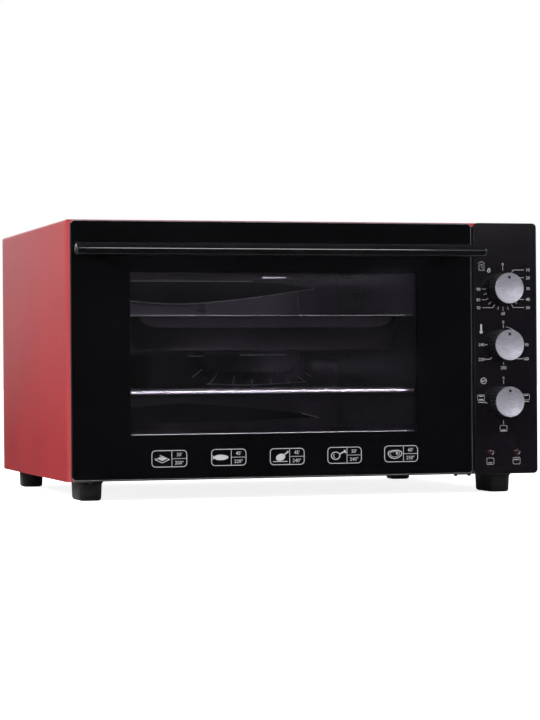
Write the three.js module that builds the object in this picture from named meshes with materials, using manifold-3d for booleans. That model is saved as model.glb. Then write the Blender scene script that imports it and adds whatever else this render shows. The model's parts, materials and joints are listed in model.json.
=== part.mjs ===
// A table-top oven with a glass drop-down door, three knobs and a convection fan.
// Sizes are in millimetres. +X is to the right as seen from the front, +Y to the back and +Z up.
// The origin is on the table, under the middle of the oven's overall box.
import * as THREE from 'three';
import { mergeVertices } from 'three/addons/utils/BufferGeometryUtils.js';
import Module from 'manifold-3d';

const wasm = await Module();
wasm.setup();

// Fits that many pieces share
const GAP = 0.3; // between pieces that are set beside each other
const SHEET_FIT = 0.05; // between two sheets that lie on each other
const PIN_FIT = 0.1; // around a pin or shaft that turns
const SCREW_FIT = 0.4; // around a screw in its hole
const SHEET = 0.6; // thickness of the steel sheet
const OVERRUN = 5; // how far a cutter runs past what it cuts
const SAME_POINT = 0.001; // two points of an outline closer than this are one

// Overall sizes. Depths are counted from the front face of the door glass, heights from the table.
const CASING_HEIGHT = 296;
const CASING_BACK = 430;
const CASING_FRONT = 8;
const CASING_OVERHANG = 3; // each side of the casing past the front
const FOOT_HEIGHT = 22;

// Rounded edges of the casing
const FRONT_ROLL = 12;
const REAR_ROLL = 8;
const BOTTOM_ROLL = 6;
const REAR_FOOT_CORNER = 15; // lower rear corner of the sides
const FOLD = 4; // top corners as seen from the front
const FRONT_FLANGE = 10;
const REAR_FLANGE = 14;
const BOTTOM_FLANGE = 4;
const SIDE_FLANGE = 12;

// Door and control panel
const GLASS = 4;
const DOOR_WIDTH = 478;
const PANEL_GAP = 3; // between the door and the control panel
const PANEL_WIDTH = 79;
const FRONT_CORNER = 5;
const DOOR_LIFT = 1.6; // the door's glass starts this far above the casing's bottom
const DOOR_DROP = 1.8; // and ends this far below its top
const PANEL_LIFT = 0.2; // the same for the control panel
const PANEL_DROP = 0.9;
const HANDLE_RADIUS = 7;
const HANDLE_REACH = 40; // bar axis in front of the glass
const HANDLE_DROP = 36; // bar axis below the casing's top
const HANDLE_OVERHANG = 3; // bar end past the door's edge
const HANDLE_END_ROUND = 4;
const BRACKET_INSET = 34; // bracket centre from the door's edge
const BRACKET_WIDTH = 22;
const BRACKET_HEIGHT = 11;
const BRACKET_CORNER = 3.6;
const HANDLE_SCREW_RADIUS = 2.4;
const HANDLE_SCREW_HEAD = 4.5;
const HANDLE_SCREW_HEAD_HEIGHT = 2.4;
const HANDLE_SCREW_LENGTH = 26;

// Oven chamber
const CHAMBER_INSET = 48; // its side walls from the edges of the door
const CHAMBER_RISE = 30; // its floor above the casing's bottom
const CHAMBER_DROP = 34; // its roof below the casing's top
const REAR_SPACE = 60; // from its back to the back of the casing
const RUNNER_REACH = 9;
const RUNNER_HEIGHT = 3;
const RUNNER_LEVELS = 4;
const RUNNER_FIRST = 21.45; // top of the lowest runner above the chamber floor
const RUNNER_LAST = 75.3; // top of the highest runner below the chamber roof
const RUNNER_FRONT_CLEAR = 1; // behind the door liner
const RUNNER_BACK_CLEAR = 15;
const RACK_LEVEL_COUNT = 1; // runner levels below the one that holds the rack
const TRAY_LEVEL_COUNT = 3;

// Door liner, a pan behind the glass that reaches into the chamber
const LINER_CLEAR = 4; // around the pan inside the chamber's mouth
const LINER_BACK = 24;
const LINER_LIP = 12;
const LINER_SILL = 18.5; // the lower lip is wider
const LINER_FLANGE_SIDE = 4;
const LINER_FLANGE_TOP = 12;
const LINER_FLANGE_BOTTOM = 10;

// Hinges
const HINGE_SETBACK = 1.5; // hinge axis behind the casing's front
const HINGE_RISE = 3; // hinge axis above the casing's bottom
const HINGE_INSETS = [7, 2.7]; // from the door's left and right edges to the knuckles
const KNUCKLE_WIDTH = 14;
const KNUCKLE_RADIUS = 3.5;
const PIN_RADIUS = 2;
const PIN_HEAD_RADIUS = 3;
const PIN_HEAD = 0.8;
const EAR_RADIUS = 5;
const EAR_THICKNESS = 2.2;
const HINGE_PLATE = 1.2;
const HINGE_TOP = 40; // top of leaf and bracket above the casing's bottom
const HINGE_NOTCH = 9; // height of the notch in the casing above its bottom
const NOTCH_CLEAR = 1.2; // beside the pin's heads
const HINGE_BRACKET_GAP = 0.8; // behind the front frame

// Controls
const KNOB_INSET = 42.6; // knob axes from the right edge of the front
const KNOB_DROP = 78; // axis of the top knob below the casing's top
const KNOB_OVER_LAMPS = 58.4; // axis of the lowest knob above the lamps
const KNOB_RADIUS = 18;
const KNOB_RIB = 0.9;
const KNOB_RIBS = 24;
const RIB_SHARES = [[0, 0], [0.45, 0], [0.6, 1], [0.85, 1]]; // of a rib's pitch and depth
const KNOB_FRONT = 20; // front of the skirt before the glass plane
const KNOB_GAP = 0.8;
const CAP_RADIUS = 17.4;
const CAP_THICKNESS = 1;
const CAP_ROUND = 0.5;
const DOT_RADIUS = 1.9;
const DOT_REACH = 12.8;
const SHAFT_RADIUS = 3;
const SHAFT_FRONT = 14;
const SHAFT_BACK = 30;
const UNIT_SIZE = 40;
const UNIT_DEPTH = 32;
const UNIT_NECK_RADIUS = 5;
const UNIT_NECK = 3;
const UNIT_CORNER = 3;
const LAMP_RISE = 26.6;
const LAMP_INSETS = [60, 27]; // lamp axes from the right edge of the front
const LENS_RADIUS = 3.4;
const LENS_DOME = 1.6;
const LENS_STEM = 3;
const LENS_SHARES = [[0.4, 0.92], [0.75, 0.64], [0.95, 0.25]]; // of the dome's radius and height
const LAMP_BODY_RADIUS = 5;
const LAMP_BODY_BACK = 34;
const CARRIER_INSET = 3;
const CARRIER_RING = 6;
const CARRIER_BOSS = 14;
const CARRIER_SPINE = 12;
const PARTITION_INSET = 14; // from the chamber to the wall beside the controls

// Fan
const FAN_OFFSET = 69; // fan axis to the right of the chamber's middle
const FAN_DROP = 79; // fan axis below the chamber roof
const FAN_COVER_FACE = 62; // half width of its front
const FAN_COVER_FOOT = 71; // half width where the slope meets the flange
const FAN_COVER_FLANGE = 6;
const FAN_COVER_CORNER = 20; // corner of its front
const FAN_COVER_DEPTH = 20;
const FAN_SLOTS = 24;
const FAN_SLOT_WIDTH = 3.2;
const FAN_SLOT_START = 6; // inside the edge of the front
const FAN_SLOT_END = 1.5; // inside the foot of the slope
const BLADE_RADIUS = 46;
const BLADE_HUB = 7;
const BLADE_COUNT = 8;
const BLADE_WIDTH = 9;
const BLADE_THICKNESS = 1.2;
const BLADE_FRONT = 6; // behind the front of the fan cover
const FAN_SHAFT_RADIUS = 2.5;
const FAN_HOLE_RADIUS = 7; // in the chamber's back and the motor's strap
const MOTOR_WIDTH = 58;
const MOTOR_HEIGHT = 48;
const MOTOR_DEPTH = 22;
const MOTOR_CORNER = 3.5;
const MOTOR_BELL_RADIUS = 14;
const MOTOR_BELL = 9;
const MOTOR_STANDOFF = 6;
const MOTOR_STRAP_WIDTH = 96;
const MOTOR_STRAP_HEIGHT = 22;
const MOTOR_TAB = 11;

// Heaters and thermostat
const HEATER_RADIUS = 3.25;
const HEATER_UPPER_DROP = 21; // below the chamber roof
const HEATER_LOWER_RISE = 12; // above the chamber floor
const HEATER_FIRST_LEG = 60; // depth of the front leg
const HEATER_UPPER_PITCH = 60;
const HEATER_UPPER_LEG_COUNT = 4;
const HEATER_LOWER_PITCH = 180;
const HEATER_LOWER_LEG_COUNT = 2;
const HEATER_SIDE_CLEAR = 26; // from the chamber's left wall
const HEATER_TURN_STEPS = 8;
const HEATER_SIDES = 8;
const HEATER_TURN_CLEAR = 40; // inner turns from the right wall
const HEATER_TAIL = 11; // past the chamber's right wall
const BUSH_NAMES = ['upper_front', 'upper_rear', 'lower_front', 'lower_rear'];
const BUSH_RADIUS = 5;
const BUSH_FLANGE = 7.5;
const BUSH_REACH = 4;
const BUSH_TAIL = 5;
const BULB_RADIUS = 3;
const BULB_LENGTH = 82;
const BULB_BACK_CLEAR = 78; // from its end to the chamber's back
const BULB_DROP = 42; // below the chamber roof
const BULB_STAND = 8; // from the right wall
const CLIP_SIZE = 9;
const CLIP_WIDTH = 8;
const CAPILLARY_RADIUS = 1;
const CAPILLARY_HOLE_RADIUS = 3;
const CAPILLARY_BEND = 8; // from the bulb's end to the hole in the wall
const CAPILLARY_RUN = 90; // straight behind the thermostat
const CAPILLARY_STEPS = 40;

// Rack and tray
const RACK_SIDE_CLEAR = 3;
const RACK_FRONT_CLEAR = 3; // behind the door liner
const RACK_BACK_CLEAR = 22;
const RACK_WIRE = 2.5; // radius of the frame's wire
const ROD_RADIUS = 1.5;
const ROD_COUNT = 14;
const ROD_EDGE = 10.55; // from the rack's side to its first rod
const ROD_BITE = 0.5; // how far the rods are welded into the frame
const TRAY_DEPTH = 40;
const TRAY_FLANGE = 22;
const TRAY_END_FLANGE = 9;
const TRAY_SLOPE = 10;
const TRAY_RIM_CORNER = 4.4;
const TRAY_CORNER = 22;

// Feet, screws and the mains entry
const FOOT_WIDTH = 27.2;
const FOOT_LENGTHS = [55, 32]; // front, rear
const FOOT_LEFT = 12.8; // left feet from the left edge of the front
const FOOT_RIGHT = 26; // right feet from the right edge of the front
const FOOT_NAMES = ['front_left', 'front_right', 'rear_left', 'rear_right'];
const FOOT_FRONT_CLEAR = 12; // front feet behind the front of the casing
const FOOT_BACK_CLEAR = 23; // rear feet before the back of the casing
const FOOT_CORNER = 7;
const FOOT_COLLAR = 1;
const FOOT_COLLAR_HEIGHT = 3;
const FOOT_SOLE_ROUND = 3;
const FOOT_TAPER_SHARE = 0.93;
const FOOT_RECESS_RADIUS = 5;
const FOOT_RECESS = 11;
const SCREW_RADIUS = 1.7;
const REAR_SCREW_SHARES = [0, 0.5, 1]; // of the rear flange's height, on both sides
const VENT_WIDTH = 4;
const VENT_LENGTH = 30;
const VENT_PITCH = 12;
const VENT_COLUMNS = 7;
const VENT_EDGE = 40; // outer vents from the middle of the side
const GLAND_INSET = 45; // from the casing's right side
const GLAND_RISE = 34; // above the casing's bottom
const GLAND_NECK = 6;
const GLAND_FLANGE = 9;
const GLAND_BORE = 4;
const GLAND_TAIL = 8;
const GLAND_PLATE = 3;

// Places worked out from the sizes
const FRONT_WIDTH = DOOR_WIDTH + PANEL_GAP + PANEL_WIDTH;
const DOOR_LEFT = -FRONT_WIDTH / 2;
const DOOR_RIGHT = DOOR_LEFT + DOOR_WIDTH;
const PANEL_LEFT = DOOR_RIGHT + PANEL_GAP;
const PANEL_RIGHT = PANEL_LEFT + PANEL_WIDTH;
const CASING_SIDE = PANEL_RIGHT + CASING_OVERHANG;
const CASING_BOTTOM = FOOT_HEIGHT;
const CASING_TOP = CASING_BOTTOM + CASING_HEIGHT;
const DOOR_BOTTOM = CASING_BOTTOM + DOOR_LIFT;
const DOOR_TOP = CASING_TOP - DOOR_DROP;
const PANEL_BOTTOM = CASING_BOTTOM + PANEL_LIFT;
const PANEL_TOP = CASING_TOP - PANEL_DROP;
const FRAME_FRONT = CASING_FRONT + SHEET + SHEET_FIT;
const FRAME_BACK = FRAME_FRONT + SHEET;
const CHAMBER_LEFT = DOOR_LEFT + CHAMBER_INSET;
const CHAMBER_RIGHT = DOOR_RIGHT - CHAMBER_INSET;
const CHAMBER_MIDDLE = (CHAMBER_LEFT + CHAMBER_RIGHT) / 2;
const CHAMBER_BOTTOM = CASING_BOTTOM + CHAMBER_RISE;
const CHAMBER_TOP = CASING_TOP - CHAMBER_DROP;
const CHAMBER_BACK = CASING_BACK - REAR_SPACE;
const RUNNER_SPAN = CHAMBER_TOP - RUNNER_LAST - (CHAMBER_BOTTOM + RUNNER_FIRST);
const RUNNER_PITCH = RUNNER_SPAN / (RUNNER_LEVELS - 1);
const RUNNER_START = LINER_BACK + RUNNER_FRONT_CLEAR;
const RUNNER_END = CHAMBER_BACK - RUNNER_BACK_CLEAR;
const PLATE_BOTTOM = CASING_BOTTOM + SHEET + SHEET_FIT; // underside of the base plate
const PLATE_TOP = PLATE_BOTTOM + SHEET;
const PANEL_BACK = CASING_BACK - SHEET - SHEET_FIT; // outside of the rear panel
const HINGE_DEPTH = CASING_FRONT + HINGE_SETBACK;
const HINGE_HEIGHT = CASING_BOTTOM + HINGE_RISE;
const HANDLE_HEIGHT = CASING_TOP - HANDLE_DROP;
const KNOB_X = PANEL_RIGHT - KNOB_INSET;
const LAMP_HEIGHT = CASING_BOTTOM + LAMP_RISE;
const KNOB_TOP = CASING_TOP - KNOB_DROP;
const KNOB_LOW = LAMP_HEIGHT + KNOB_OVER_LAMPS;
const KNOB_HEIGHTS = [KNOB_TOP, (KNOB_TOP + KNOB_LOW) / 2, KNOB_LOW];
const PARTITION = CHAMBER_RIGHT + SHEET + PARTITION_INSET;
const VENT_MIDDLES = [-CASING_SIDE / 2, (PARTITION + CASING_SIDE) / 2];
const FAN_X = CHAMBER_MIDDLE + FAN_OFFSET;
const FAN_HEIGHT = CHAMBER_TOP - FAN_DROP;
const FAN_COVER_FRONT = CHAMBER_BACK - FAN_COVER_DEPTH;
const MOTOR_FRONT = CHAMBER_BACK + SHEET + MOTOR_STANDOFF + SHEET;
const MOTOR_BACK = MOTOR_FRONT + MOTOR_DEPTH;
const RACK_HEIGHT = runnerTop(RACK_LEVEL_COUNT) + GAP + RACK_WIRE;
const TRAY_RIM = runnerTop(TRAY_LEVEL_COUNT) + GAP;
const RACK_LEFT = CHAMBER_LEFT + RACK_SIDE_CLEAR;
const RACK_RIGHT = CHAMBER_RIGHT - RACK_SIDE_CLEAR;
const RACK_FRONT = LINER_BACK + RACK_FRONT_CLEAR;
const RACK_BACK = CHAMBER_BACK - RACK_BACK_CLEAR;
const ROD_PITCH = (RACK_RIGHT - RACK_LEFT - ROD_EDGE * 2) / (ROD_COUNT - 1);
const HEATER_UPPER = CHAMBER_TOP - HEATER_UPPER_DROP;
const HEATER_LOWER = CHAMBER_BOTTOM + HEATER_LOWER_RISE;
const BULB_X = CHAMBER_RIGHT - BULB_STAND;
const BULB_HEIGHT = CHAMBER_TOP - BULB_DROP;
const BULB_END = CHAMBER_BACK - BULB_BACK_CLEAR;
const BULB_START = BULB_END - BULB_LENGTH;
const CAPILLARY_Y = BULB_END + CAPILLARY_BEND; // where it passes the chamber's wall
const GLAND_X = CASING_SIDE - GLAND_INSET;
const GLAND_HEIGHT = CASING_BOTTOM + GLAND_RISE;
const FRONTMOST = -(HANDLE_REACH + HANDLE_RADIUS);
const REARMOST = PANEL_BACK + GLAND_PLATE + GLAND_TAIL;

const oven = new THREE.Group();
oven.position.y = -(FRONTMOST + REARMOST) / 2;

// Materials
function finish(color, roughness, metalness) {
  return new THREE.MeshStandardMaterial({ color, roughness, metalness });
}

const redPaint = finish(0xa83c3e, 0.3, 0.1);
const blackGlass = finish(0x0c0b0e, 0.05, 0);
const clearGlass = finish(0x2c2e33, 0.05, 0);
const blackGloss = finish(0x131316, 0.2, 0);
const blackPlastic = finish(0x1b1a1d, 0.55, 0);
const blackEnamel = finish(0x1f1f22, 0.35, 0);
const galvanised = finish(0x9ba0a5, 0.4, 0.9);
const brightSteel = finish(0xc9cbcf, 0.2, 1);
const aluminium = finish(0xb4b4bb, 0.35, 1);
const heaterSteel = finish(0x55534f, 0.5, 0.8);
const ceramic = finish(0xe6e1d6, 0.6, 0);
const redLens = finish(0x5c1512, 0.15, 0);
const copper = finish(0xa8683c, 0.4, 1);
const brownMoulding = finish(0x3a2c24, 0.6, 0);

// Geometry helpers
function outwardTriangles(corners, index) {
  const triangles = [];
  let volume = 0;
  for (let i = 0; i < index.length; i += 3) {
    const [a, b, c] = index.subarray(i, i + 3);
    if (a === b || b === c || c === a) continue;
    const [p, q, r] = [a, b, c].map((k) => new THREE.Vector3().fromArray(corners, k * 3));
    volume += p.dot(q.cross(r));
    triangles.push(a, b, c);
  }
  return Uint32Array.from(volume < 0 ? triangles.reverse() : triangles);
}

function solid(geometry) {
  geometry.deleteAttribute('normal');
  geometry.deleteAttribute('uv');
  const merged = mergeVertices(geometry);
  const vertProperties = Float32Array.from(merged.attributes.position.array);
  const triVerts = outwardTriangles(vertProperties, merged.index.array);
  return new wasm.Manifold(new wasm.Mesh({ numProp: 3, vertProperties, triVerts }));
}

function add(name, form, material) {
  const { vertProperties, triVerts } = form.getMesh();
  const geometry = new THREE.BufferGeometry();
  geometry.setAttribute('position', new THREE.BufferAttribute(vertProperties, 3));
  geometry.setIndex(new THREE.BufferAttribute(triVerts, 1));
  geometry.computeVertexNormals();
  const mesh = new THREE.Mesh(geometry, material);
  mesh.name = name;
  oven.add(mesh);
}

const join = (forms) => forms.reduce((whole, form) => whole.add(form));
const cut = (form, cutters) => cutters.reduce((rest, cutter) => rest.subtract(cutter), form);

function box(x0, x1, y0, y1, z0, z1) {
  const geometry = new THREE.BoxGeometry(x1 - x0, y1 - y0, z1 - z0);
  geometry.translate((x0 + x1) / 2, (y0 + y1) / 2, (z0 + z1) / 2);
  return solid(geometry);
}

function arc(a, b, radius, start, sweep, steps) {
  const points = [];
  for (let step = 0; step <= steps; step += 1) {
    const angle = start + (sweep * step) / steps;
    points.push(new THREE.Vector2(a + radius * Math.cos(angle), b + radius * Math.sin(angle)));
  }
  return points;
}

// A rectangle with its own radius at each corner: low-low, high-low, high-high, low-high
function outline(a0, b0, a1, b1, radii, steps = 4) {
  const [r0, r1, r2, r3] = radii;
  const quarter = Math.PI / 2;
  const points = [
    ...arc(a0 + r0, b0 + r0, r0, -2 * quarter, quarter, r0 > 0 ? steps : 1),
    ...arc(a1 - r1, b0 + r1, r1, -quarter, quarter, r1 > 0 ? steps : 1),
    ...arc(a1 - r2, b1 - r2, r2, 0, quarter, r2 > 0 ? steps : 1),
    ...arc(a0 + r3, b1 - r3, r3, quarter, quarter, r3 > 0 ? steps : 1),
  ];
  return polygon(points);
}

function polygon(points) {
  const apart = (p, q) => p.distanceTo(q) > SAME_POINT;
  const kept = points.filter((point, i) => apart(point, points[(i + 1) % points.length]));
  return new THREE.Shape(kept);
}

const evenly = (radius) => [radius, radius, radius, radius];
const circle = (a, b, radius, sides) => polygon(arc(a, b, radius, 0, Math.PI * 2, sides).slice(1));

// Extrusions of an outline: (y, z) along X, (x, z) along Y, (x, y) along Z
function alongX(shape, from, to) {
  const geometry = new THREE.ExtrudeGeometry(shape, { depth: to - from, bevelEnabled: false });
  const turn = new THREE.Matrix4().makeBasis(
    new THREE.Vector3(0, 1, 0),
    new THREE.Vector3(0, 0, 1),
    new THREE.Vector3(1, 0, 0),
  );
  geometry.applyMatrix4(turn);
  geometry.translate(from, 0, 0);
  return solid(geometry);
}

function alongY(shape, from, to) {
  const geometry = new THREE.ExtrudeGeometry(shape, { depth: to - from, bevelEnabled: false });
  geometry.rotateX(Math.PI / 2);
  geometry.translate(0, to, 0);
  return solid(geometry);
}

function alongZ(shape, from, to) {
  const geometry = new THREE.ExtrudeGeometry(shape, { depth: to - from, bevelEnabled: false });
  geometry.translate(0, 0, from);
  return solid(geometry);
}

const rodX = (y, z, radius, from, to, sides = 16) => alongX(circle(y, z, radius, sides), from, to);
const rodY = (x, z, radius, from, to, sides = 16) => alongY(circle(x, z, radius, sides), from, to);
const rodZ = (x, y, radius, from, to, sides = 16) => alongZ(circle(x, y, radius, sides), from, to);

// A form turned about an axis along Y through (x, z), from a profile of [radius, y] points
// that runs from the front of the axis to its back
function turned(profile, x, z, sides) {
  const points = profile.map(([radius, y]) => new THREE.Vector2(radius, y));
  const geometry = new THREE.LatheGeometry(points, sides);
  geometry.translate(x, 0, z);
  return solid(geometry);
}

// A curve through points that is sampled at those points, so that its straight lengths stay whole
class Route extends THREE.Curve {
  constructor(points) {
    super();
    this.points = points;
  }

  getPoint(t) {
    const place = t * (this.points.length - 1);
    const i = Math.min(Math.floor(place), this.points.length - 2);
    return this.points[i].clone().lerp(this.points[i + 1], place - i);
  }

  getPointAt(t) {
    return this.getPoint(t);
  }

  getTangentAt(t) {
    const half = 1 / (this.points.length - 1) / 2;
    const before = this.getPoint(Math.max(t - half, 0));
    return this.getPoint(Math.min(t + half, 1)).sub(before).normalize();
  }
}

// A tube along a route, with a section of a few sides
function tube(route, radius, steps, sides) {
  const section = circle(0, 0, radius, sides);
  return solid(new THREE.ExtrudeGeometry(section, { steps, extrudePath: route }));
}

function runnerTop(level) {
  return CHAMBER_BOTTOM + RUNNER_FIRST + RUNNER_PITCH * level;
}

// Casing: the same rounded body, shrunk by the sheet's thickness, makes the inside
function casingBody(inset) {
  const side = CASING_SIDE - inset;
  const front = CASING_FRONT + inset;
  const back = CASING_BACK - inset;
  const bottom = CASING_BOTTOM + inset;
  const top = CASING_TOP - inset;
  const shrink = (radii) => radii.map((radius) => radius - inset);
  const plan = outline(-side, front, side, back, shrink([FRONT_ROLL, FRONT_ROLL, REAR_ROLL, REAR_ROLL]));
  const sideCorners = shrink([BOTTOM_ROLL, REAR_FOOT_CORNER, REAR_ROLL, FRONT_ROLL]);
  const profile = outline(front, bottom, back, top, sideCorners);
  const face = outline(-side, bottom, side, top, [0, 0, FOLD - inset, FOLD - inset]);
  const upright = alongZ(plan, bottom, top);
  return upright.intersect(alongX(profile, -side, side)).intersect(alongY(face, front, back));
}

function hingeNotches() {
  return hingeSpans().map(([from, to]) =>
    box(
      from - EAR_THICKNESS - PIN_HEAD - NOTCH_CLEAR,
      to + EAR_THICKNESS + PIN_HEAD + NOTCH_CLEAR,
      CASING_FRONT - OVERRUN,
      HINGE_DEPTH + EAR_RADIUS + GAP,
      CASING_BOTTOM - OVERRUN,
      CASING_BOTTOM + HINGE_NOTCH,
    ),
  );
}

function rearScrewPlaces() {
  const side = CASING_SIDE - REAR_ROLL - REAR_FLANGE / 2;
  const low = CASING_BOTTOM + REAR_FOOT_CORNER + REAR_FLANGE;
  const high = CASING_TOP - REAR_ROLL - REAR_FLANGE / 2;
  const places = [[0, high]];
  for (const share of REAR_SCREW_SHARES) {
    const z = low + (high - low) * share;
    places.push([-side, z], [side, z]);
  }
  return places;
}

function outerWrap() {
  const inner = CASING_SIDE - SIDE_FLANGE;
  const frontSide = CASING_SIDE - FRONT_ROLL - FRONT_FLANGE;
  const rearSide = CASING_SIDE - REAR_ROLL - REAR_FLANGE;
  const mouth = box(
    -frontSide,
    frontSide,
    CASING_FRONT - OVERRUN,
    CASING_FRONT + OVERRUN,
    CASING_BOTTOM + BOTTOM_ROLL + FRONT_FLANGE,
    CASING_TOP - FRONT_ROLL - FRONT_FLANGE,
  );
  const rear = box(
    -rearSide,
    rearSide,
    CASING_BACK - OVERRUN,
    CASING_BACK + OVERRUN,
    CASING_BOTTOM + REAR_FOOT_CORNER + REAR_FLANGE / 2,
    CASING_TOP - REAR_ROLL - REAR_FLANGE,
  );
  const bottom = box(
    -inner,
    inner,
    CASING_FRONT + BOTTOM_ROLL + BOTTOM_FLANGE,
    CASING_BACK - REAR_FOOT_CORNER - BOTTOM_FLANGE,
    CASING_BOTTOM - OVERRUN,
    CASING_BOTTOM + OVERRUN,
  );
  const screws = rearScrewPlaces().map(([x, z]) =>
    rodY(x, z, SCREW_RADIUS + SCREW_FIT, CASING_BACK - OVERRUN, CASING_BACK + OVERRUN, 8),
  );
  return cut(casingBody(0), [casingBody(SHEET), mouth, rear, bottom, ...hingeNotches(), ...screws]);
}

function frontFrame() {
  const side = CASING_SIDE - FRONT_ROLL - GAP;
  const plate = box(
    -side,
    side,
    FRAME_FRONT,
    FRAME_BACK,
    CASING_BOTTOM + BOTTOM_ROLL + GAP,
    CASING_TOP - FRONT_ROLL - GAP,
  );
  const before = FRAME_FRONT - OVERRUN;
  const behind = FRAME_BACK + OVERRUN;
  const mouth = box(CHAMBER_LEFT, CHAMBER_RIGHT, before, behind, CHAMBER_BOTTOM, CHAMBER_TOP);
  const necks = KNOB_HEIGHTS.map((z) => rodY(KNOB_X, z, UNIT_NECK_RADIUS + GAP, before, behind));
  const lamps = LAMP_INSETS.map((inset) =>
    rodY(PANEL_RIGHT - inset, LAMP_HEIGHT, LENS_STEM + GAP, before, behind, 12),
  );
  return cut(plate, [mouth, ...necks, ...lamps, ...hingeNotches()]);
}

function ventSlots(middle, low, high) {
  const slots = [];
  const half = VENT_WIDTH / 2;
  const width = VENT_PITCH * (VENT_COLUMNS - 1);
  for (const bottom of [low, high]) {
    for (let column = 0; column < VENT_COLUMNS; column += 1) {
      const x = middle - width / 2 + VENT_PITCH * column;
      slots.push(outline(x - half, bottom, x + half, bottom + VENT_LENGTH, evenly(half), 1));
    }
  }
  return slots;
}

function basePlate() {
  const side = CASING_SIDE - SHEET - GAP;
  const front = CASING_FRONT + BOTTOM_ROLL + SHEET + GAP;
  const back = CASING_BACK - REAR_FOOT_CORNER - GAP;
  const corners = [REAR_ROLL, REAR_ROLL, 0, 0];
  const plate = alongZ(outline(-side, front, side, back, corners), PLATE_BOTTOM, PLATE_TOP);
  const middle = (front + back) / 2;
  const from = PLATE_BOTTOM - OVERRUN;
  const to = PLATE_TOP + OVERRUN;
  const slots = VENT_MIDDLES.flatMap((x) =>
    ventSlots(x, middle - VENT_EDGE - VENT_LENGTH, middle + VENT_EDGE),
  );
  const holes = footPlaces().map(([x, y]) => rodZ(x, y, SCREW_RADIUS + SCREW_FIT, from, to, 8));
  return cut(plate, [...slots.map((slot) => alongZ(slot, from, to)), ...holes]);
}

function rearPanel() {
  const side = CASING_SIDE - REAR_ROLL - GAP;
  const bottom = CASING_BOTTOM + REAR_FOOT_CORNER + GAP;
  const top = CASING_TOP - REAR_ROLL - GAP;
  const plate = box(-side, side, PANEL_BACK - SHEET, PANEL_BACK, bottom, top);
  const from = PANEL_BACK - SHEET - OVERRUN;
  const to = PANEL_BACK + OVERRUN;
  const middle = (bottom + top) / 2;
  const slots = VENT_MIDDLES.flatMap((x) =>
    ventSlots(x, middle - VENT_EDGE - VENT_LENGTH, middle + VENT_EDGE),
  );
  const screws = rearScrewPlaces().map(([x, z]) => rodY(x, z, SCREW_RADIUS + SCREW_FIT, from, to, 8));
  const entry = rodY(GLAND_X, GLAND_HEIGHT, GLAND_NECK + GAP, from, to);
  return cut(plate, [...slots.map((slot) => alongY(slot, from, to)), ...screws, entry]);
}

function controlPartition() {
  const corners = [BOTTOM_ROLL, REAR_FOOT_CORNER, REAR_ROLL, FRONT_ROLL];
  const profile = outline(FRAME_BACK, PLATE_TOP, PANEL_BACK - SHEET, CASING_TOP - SHEET - GAP, corners);
  return alongX(profile, PARTITION, PARTITION + SHEET).subtract(
    rodX(CAPILLARY_Y, BULB_HEIGHT, CAPILLARY_HOLE_RADIUS, PARTITION - OVERRUN, PARTITION + OVERRUN, 8),
  );
}

// Feet
function footPlaces() {
  const left = DOOR_LEFT + FOOT_LEFT + FOOT_WIDTH / 2;
  const right = PANEL_RIGHT - FOOT_RIGHT - FOOT_WIDTH / 2;
  const [long, short] = FOOT_LENGTHS;
  const front = CASING_FRONT + FOOT_FRONT_CLEAR + long / 2;
  const rear = CASING_BACK - FOOT_BACK_CLEAR - short / 2;
  return [
    [left, front, long],
    [right, front, long],
    [left, rear, short],
    [right, rear, short],
  ];
}

// A foot is drawn about its own middle, narrower towards the sole, and then put in its place
function foot([x, y, length]) {
  const halfWidth = FOOT_WIDTH / 2;
  const halfLength = length / 2;
  const height = PLATE_BOTTOM;
  const grown = (size) => [-halfWidth - size, -halfLength - size, halfWidth + size, halfLength + size];
  const inset = outline(...grown(-FOOT_SOLE_ROUND), evenly(FOOT_CORNER - FOOT_SOLE_ROUND), 3);
  const bevel = { bevelThickness: FOOT_SOLE_ROUND, bevelSize: FOOT_SOLE_ROUND, bevelSegments: 2 };
  const leg = new THREE.ExtrudeGeometry(inset, { depth: height, ...bevel });
  leg.translate(0, 0, FOOT_SOLE_ROUND);
  const corners = leg.attributes.position;
  for (let i = 0; i < corners.count; i += 1) {
    const share = FOOT_TAPER_SHARE + (1 - FOOT_TAPER_SHARE) * Math.min(corners.getZ(i) / height, 1);
    corners.setXY(i, x + corners.getX(i) * share, y + corners.getY(i) * share);
  }
  const collar = outline(...grown(FOOT_COLLAR), evenly(FOOT_CORNER + FOOT_COLLAR), 3);
  const collarSolid = new THREE.ExtrudeGeometry(collar, { depth: FOOT_COLLAR_HEIGHT, bevelEnabled: false });
  collarSolid.translate(x, y, height - FOOT_COLLAR_HEIGHT);
  const above = box(x - length, x + length, y - length, y + length, height, height * 2);
  const recess = rodZ(x, y, FOOT_RECESS_RADIUS, -OVERRUN, FOOT_RECESS);
  const hole = rodZ(x, y, SCREW_RADIUS + SCREW_FIT, 0, height + OVERRUN, 12);
  return cut(solid(leg).add(solid(collarSolid)), [above, recess, hole]);
}

// Oven chamber
function runners(wall, direction) {
  const ledges = [];
  for (let level = 0; level < RUNNER_LEVELS; level += 1) {
    const top = runnerTop(level);
    const tip = wall + direction * RUNNER_REACH;
    const root = wall - direction * (SHEET / 2);
    ledges.push(
      box(Math.min(root, tip), Math.max(root, tip), RUNNER_START, RUNNER_END, top - RUNNER_HEIGHT, top),
    );
  }
  return ledges;
}

// Side wall, from its left face
function chamberSide(left) {
  return box(left, left + SHEET, FRAME_BACK, CHAMBER_BACK, CHAMBER_BOTTOM, CHAMBER_TOP);
}

function leftWall() {
  return join([chamberSide(CHAMBER_LEFT - SHEET), ...runners(CHAMBER_LEFT, 1)]);
}

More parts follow.
